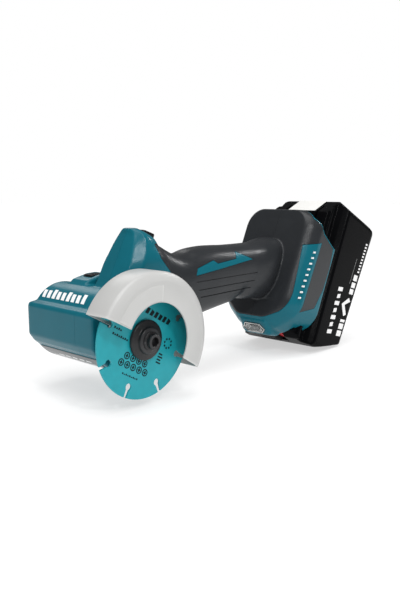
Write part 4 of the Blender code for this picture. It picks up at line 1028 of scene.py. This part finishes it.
def build_fittings():
    """Screws, bearing box and terminal block in their finished form."""
    for k, (x, z, seat) in enumerate(SCREWS):
        screw(f"case_screw_{k + 1}", (x, MID_Y - 8, z), (x, MID_Y + seat + CLEAR + 2.2, z), 1.55, 3.0,
              2.2, "tool", [f"housing_screw_{k + 1}"])
    screw("clamp_screw", (22.5, 12.7, -2.0), (22.5, 12.7, -14.6), 1.2, 2.1, 3.3, "guard",
          ["guard_clamp_screw"])
    profile = [(9.9, 5.8), (10.3, 5.4), (13.8, 5.4), (14.2, 5.8), (14.2, 19.0), (20.3, 19.0), (20.3, 22.0),
               (9.9, 22.0), (9.9, 14.4), (7.0, 14.4), (7.0, 12.9), (9.9, 12.9)]
    piece(turned("nose_casting", profile), "tool", "aluminium_box", ["bearing_box"])
    block = slab("terminals", mid_box(21.5, -8.0, 18.0, 1.5), -25.4, -20.2, in_yh, edge=0.4)
    piece(block, "tool", "black_plastic", ["terminal_block"])
    for k, y in enumerate(BLADES):
        blade = slab(f"terminal_blade_{k + 1}", box_outline(y - 0.5, 0.0, y + 0.5, 16.0, 0.2), -20.1,
                     -11.5, in_yh, edge=0.3)
        piece(blade, "tool", "steel")


def wrapped(name, start, end, y0, y1, rise=0.35):
    """A thin film round the barrel's lower round between two angles."""
    low, high = BARREL_RADIUS - 0.3, BARREL_RADIUS + rise
    return turned(name, [(low, y0), (high, y0), (high, y1), (low, y1)], (0.0, BARREL_LIFT), 24, start, end)


def build_barrel_prints():
    """The rating film under the barrel and generic marks on its shoulder."""
    piece(wrapped("rating_film", 216.5, 246.0, 22.0, 84.0), "tool", "label_grey", ["rating_plate"])
    bars = [wrapped("rating_bar", 226.0 + 0.4 * k, 229.5 + 0.4 * k, 32.0 + 7.5 * k, 37.5 + 7.5 * k, rise=0.45)
            for k in range(5)]
    bars += [wrapped("rating_line", 234.0 + 4.0 * k, 235.2 + 4.0 * k, 30.0, 76.0, rise=0.45)
             for k in range(3)]
    piece(merged(bars), "tool", "label_white", finish=PRINT_WHITE)

    marks = []
    skin = BARREL_RADIUS + 0.12
    for k in range(9):
        lo, hi = math.radians(121.5 if k % 3 == 0 else 124.5), math.radians(139.0)
        y = 36.0 + 5.4 * k
        rings = []
        for i in range(7):
            a = lo + (hi - lo) * i / 6
            shift = 2.6 * (1 - i / 6)
            rings.append([(r * math.cos(a), y + shift + w, BARREL_LIFT + BARREL_RISE + r * math.sin(a))
                          for r, w in ((skin - 0.6, 0.0), (skin, 0.0), (skin, 3.4), (skin - 0.6, 3.4))])
        marks.append(loft("mark", rings))
    piece(merged(marks), "tool", "label_white", finish=PRINT_WHITE)


def build_cheek_marks():
    """Small ticks along the housing's stripe on the near cheek of the holder."""
    near = MID_Y - PACK_WIDTH / 2
    ticks = [slab("tick", slanted(-38.6 + 0.075 * (h + 35), h, 1.7, 1.5, 0.5), near - 0.15, near + 1.5, in_sh)
             for h in range(-34, 7, 5)]
    piece(merged(ticks), "tool", "label_white", finish=PRINT_WHITE)


# ---- the rest of the CAD, stage and camera
def finish_cad_nodes():
    """Every CAD node that stays gets the procedural finish of its own slot."""
    slots = {part["node"]: part["material_slot"] for part in frame["record"]["subparts"]}
    for name, item in frame["nodes"].items():
        item.data.materials.clear()
        item.data.materials.append(SLOT_FINISH[slots[name]])


def add_light(name, kind, energy, location, target, **settings):
    """A light at location, in metres, that faces target."""
    data = bpy.data.lights.new(name, kind)
    for key, value in {"energy": energy, **settings}.items():
        setattr(data, key, value)
    item = link(name, data)
    item.location = location
    item.rotation_euler = (Vector(target) - Vector(location)).to_track_quat("-Z", "Y").to_euler()


SKY_LIGHT, SKY_REFLECTED = 0.46, 0.16


def studio_world():
    """White backdrop to the eye, a softer sky on the object and a dim one in its reflections."""
    world = bpy.data.worlds.new("studio")
    world.use_nodes = True
    nodes, links = world.node_tree.nodes, world.node_tree.links
    background = nodes["Background"]
    background.inputs["Color"].default_value = (1.0, 1.0, 1.0, 1.0)
    paths = nodes.new("ShaderNodeLightPath")
    total = None
    for ray, level in (("Is Camera Ray", 1.0), ("Is Glossy Ray", SKY_REFLECTED)):
        step = nodes.new("ShaderNodeMath")
        step.operation = "MULTIPLY_ADD"
        step.inputs[1].default_value = level - SKY_LIGHT
        step.inputs[2].default_value = SKY_LIGHT
        links.new(paths.outputs[ray], step.inputs[0])
        if total:
            links.new(total, step.inputs[2])
        total = step.outputs["Value"]
    links.new(total, background.inputs["Strength"])
    bpy.context.scene.world = world
    bpy.context.scene.view_settings.view_transform = "Standard"


FLOOR_REACH = 6000.0
CAMERA_LENS, CAMERA_PLACE = 39.57, (-270.65, -301.25, 92.37)
CAMERA_AZIMUTH, CAMERA_ELEVATION = math.radians(-46.89), math.radians(9.46)


def build_stage():
    """Pale floor, soft studio light, and the camera at the photograph's angle."""
    f = FLOOR_REACH
    floor = solid("floor", [(-f, -f, 0), (f, -f, 0), (f, f, 0), (-f, f, 0)], [[0, 1, 2, 3]])
    floor.data.transform(Matrix.Scale(0.001, 4))
    floor.location.z = -0.0004
    paper = finish_of("floor_paper", (0.44, 0.44, 0.44), 0.9, mottle=0.005, ior=1.05)
    glow = paper.node_tree.nodes["Principled BSDF"].inputs
    glow["Emission Color"].default_value = (1.0, 1.0, 1.0, 1.0)
    glow["Emission Strength"].default_value = 0.55
    floor.data.materials.append(paper)
    studio_world()
    add_light("sky", "SUN", 1.9, (0, 0, 0), (0.10, 0.12, -1.0), angle=math.radians(50))
    for name, energy, size, location, target in (
            ("key", 1.0, 0.10, (-0.62, -0.62, 0.62), (-0.04, 0, 0.08)),
            ("spot", 2.0, 0.10, (-0.27, -0.68, 0.69), (-0.10, 0, 0.09)),
            ("side", 1.6, 0.10, (0.78, -0.23, 0.56), (0.04, 0, 0.09)),
            ("rim", 1.2, 0.5, (0.35, 0.8, 0.7), (0.0, 0, 0.07))):
        add_light(name, "AREA", energy, location, target, shape="DISK", size=size)

    data = bpy.data.cameras.new("camera")
    data.lens, data.sensor_width, data.sensor_fit = CAMERA_LENS, 36.0, "AUTO"
    camera = link("camera", data)
    level = math.cos(CAMERA_ELEVATION)
    back = Vector((math.sin(CAMERA_AZIMUTH) * level, -math.cos(CAMERA_AZIMUTH) * level,
                   math.sin(CAMERA_ELEVATION)))
    right = Vector((0, 0, 1)).cross(back).normalized()
    turn = Matrix((right, back.cross(right), back)).transposed().to_4x4()
    camera.matrix_world = Matrix.Translation(TO_WORLD @ Vector(CAMERA_PLACE)) @ turn
    bpy.context.scene.camera = camera


finish_cad_nodes()
build_shells()
build_barrel_prints()
build_cheek_marks()
build_disc()
build_disc_prints()
build_guard()
build_battery()
build_controls()
build_lamp()
build_fittings()
build_stage()
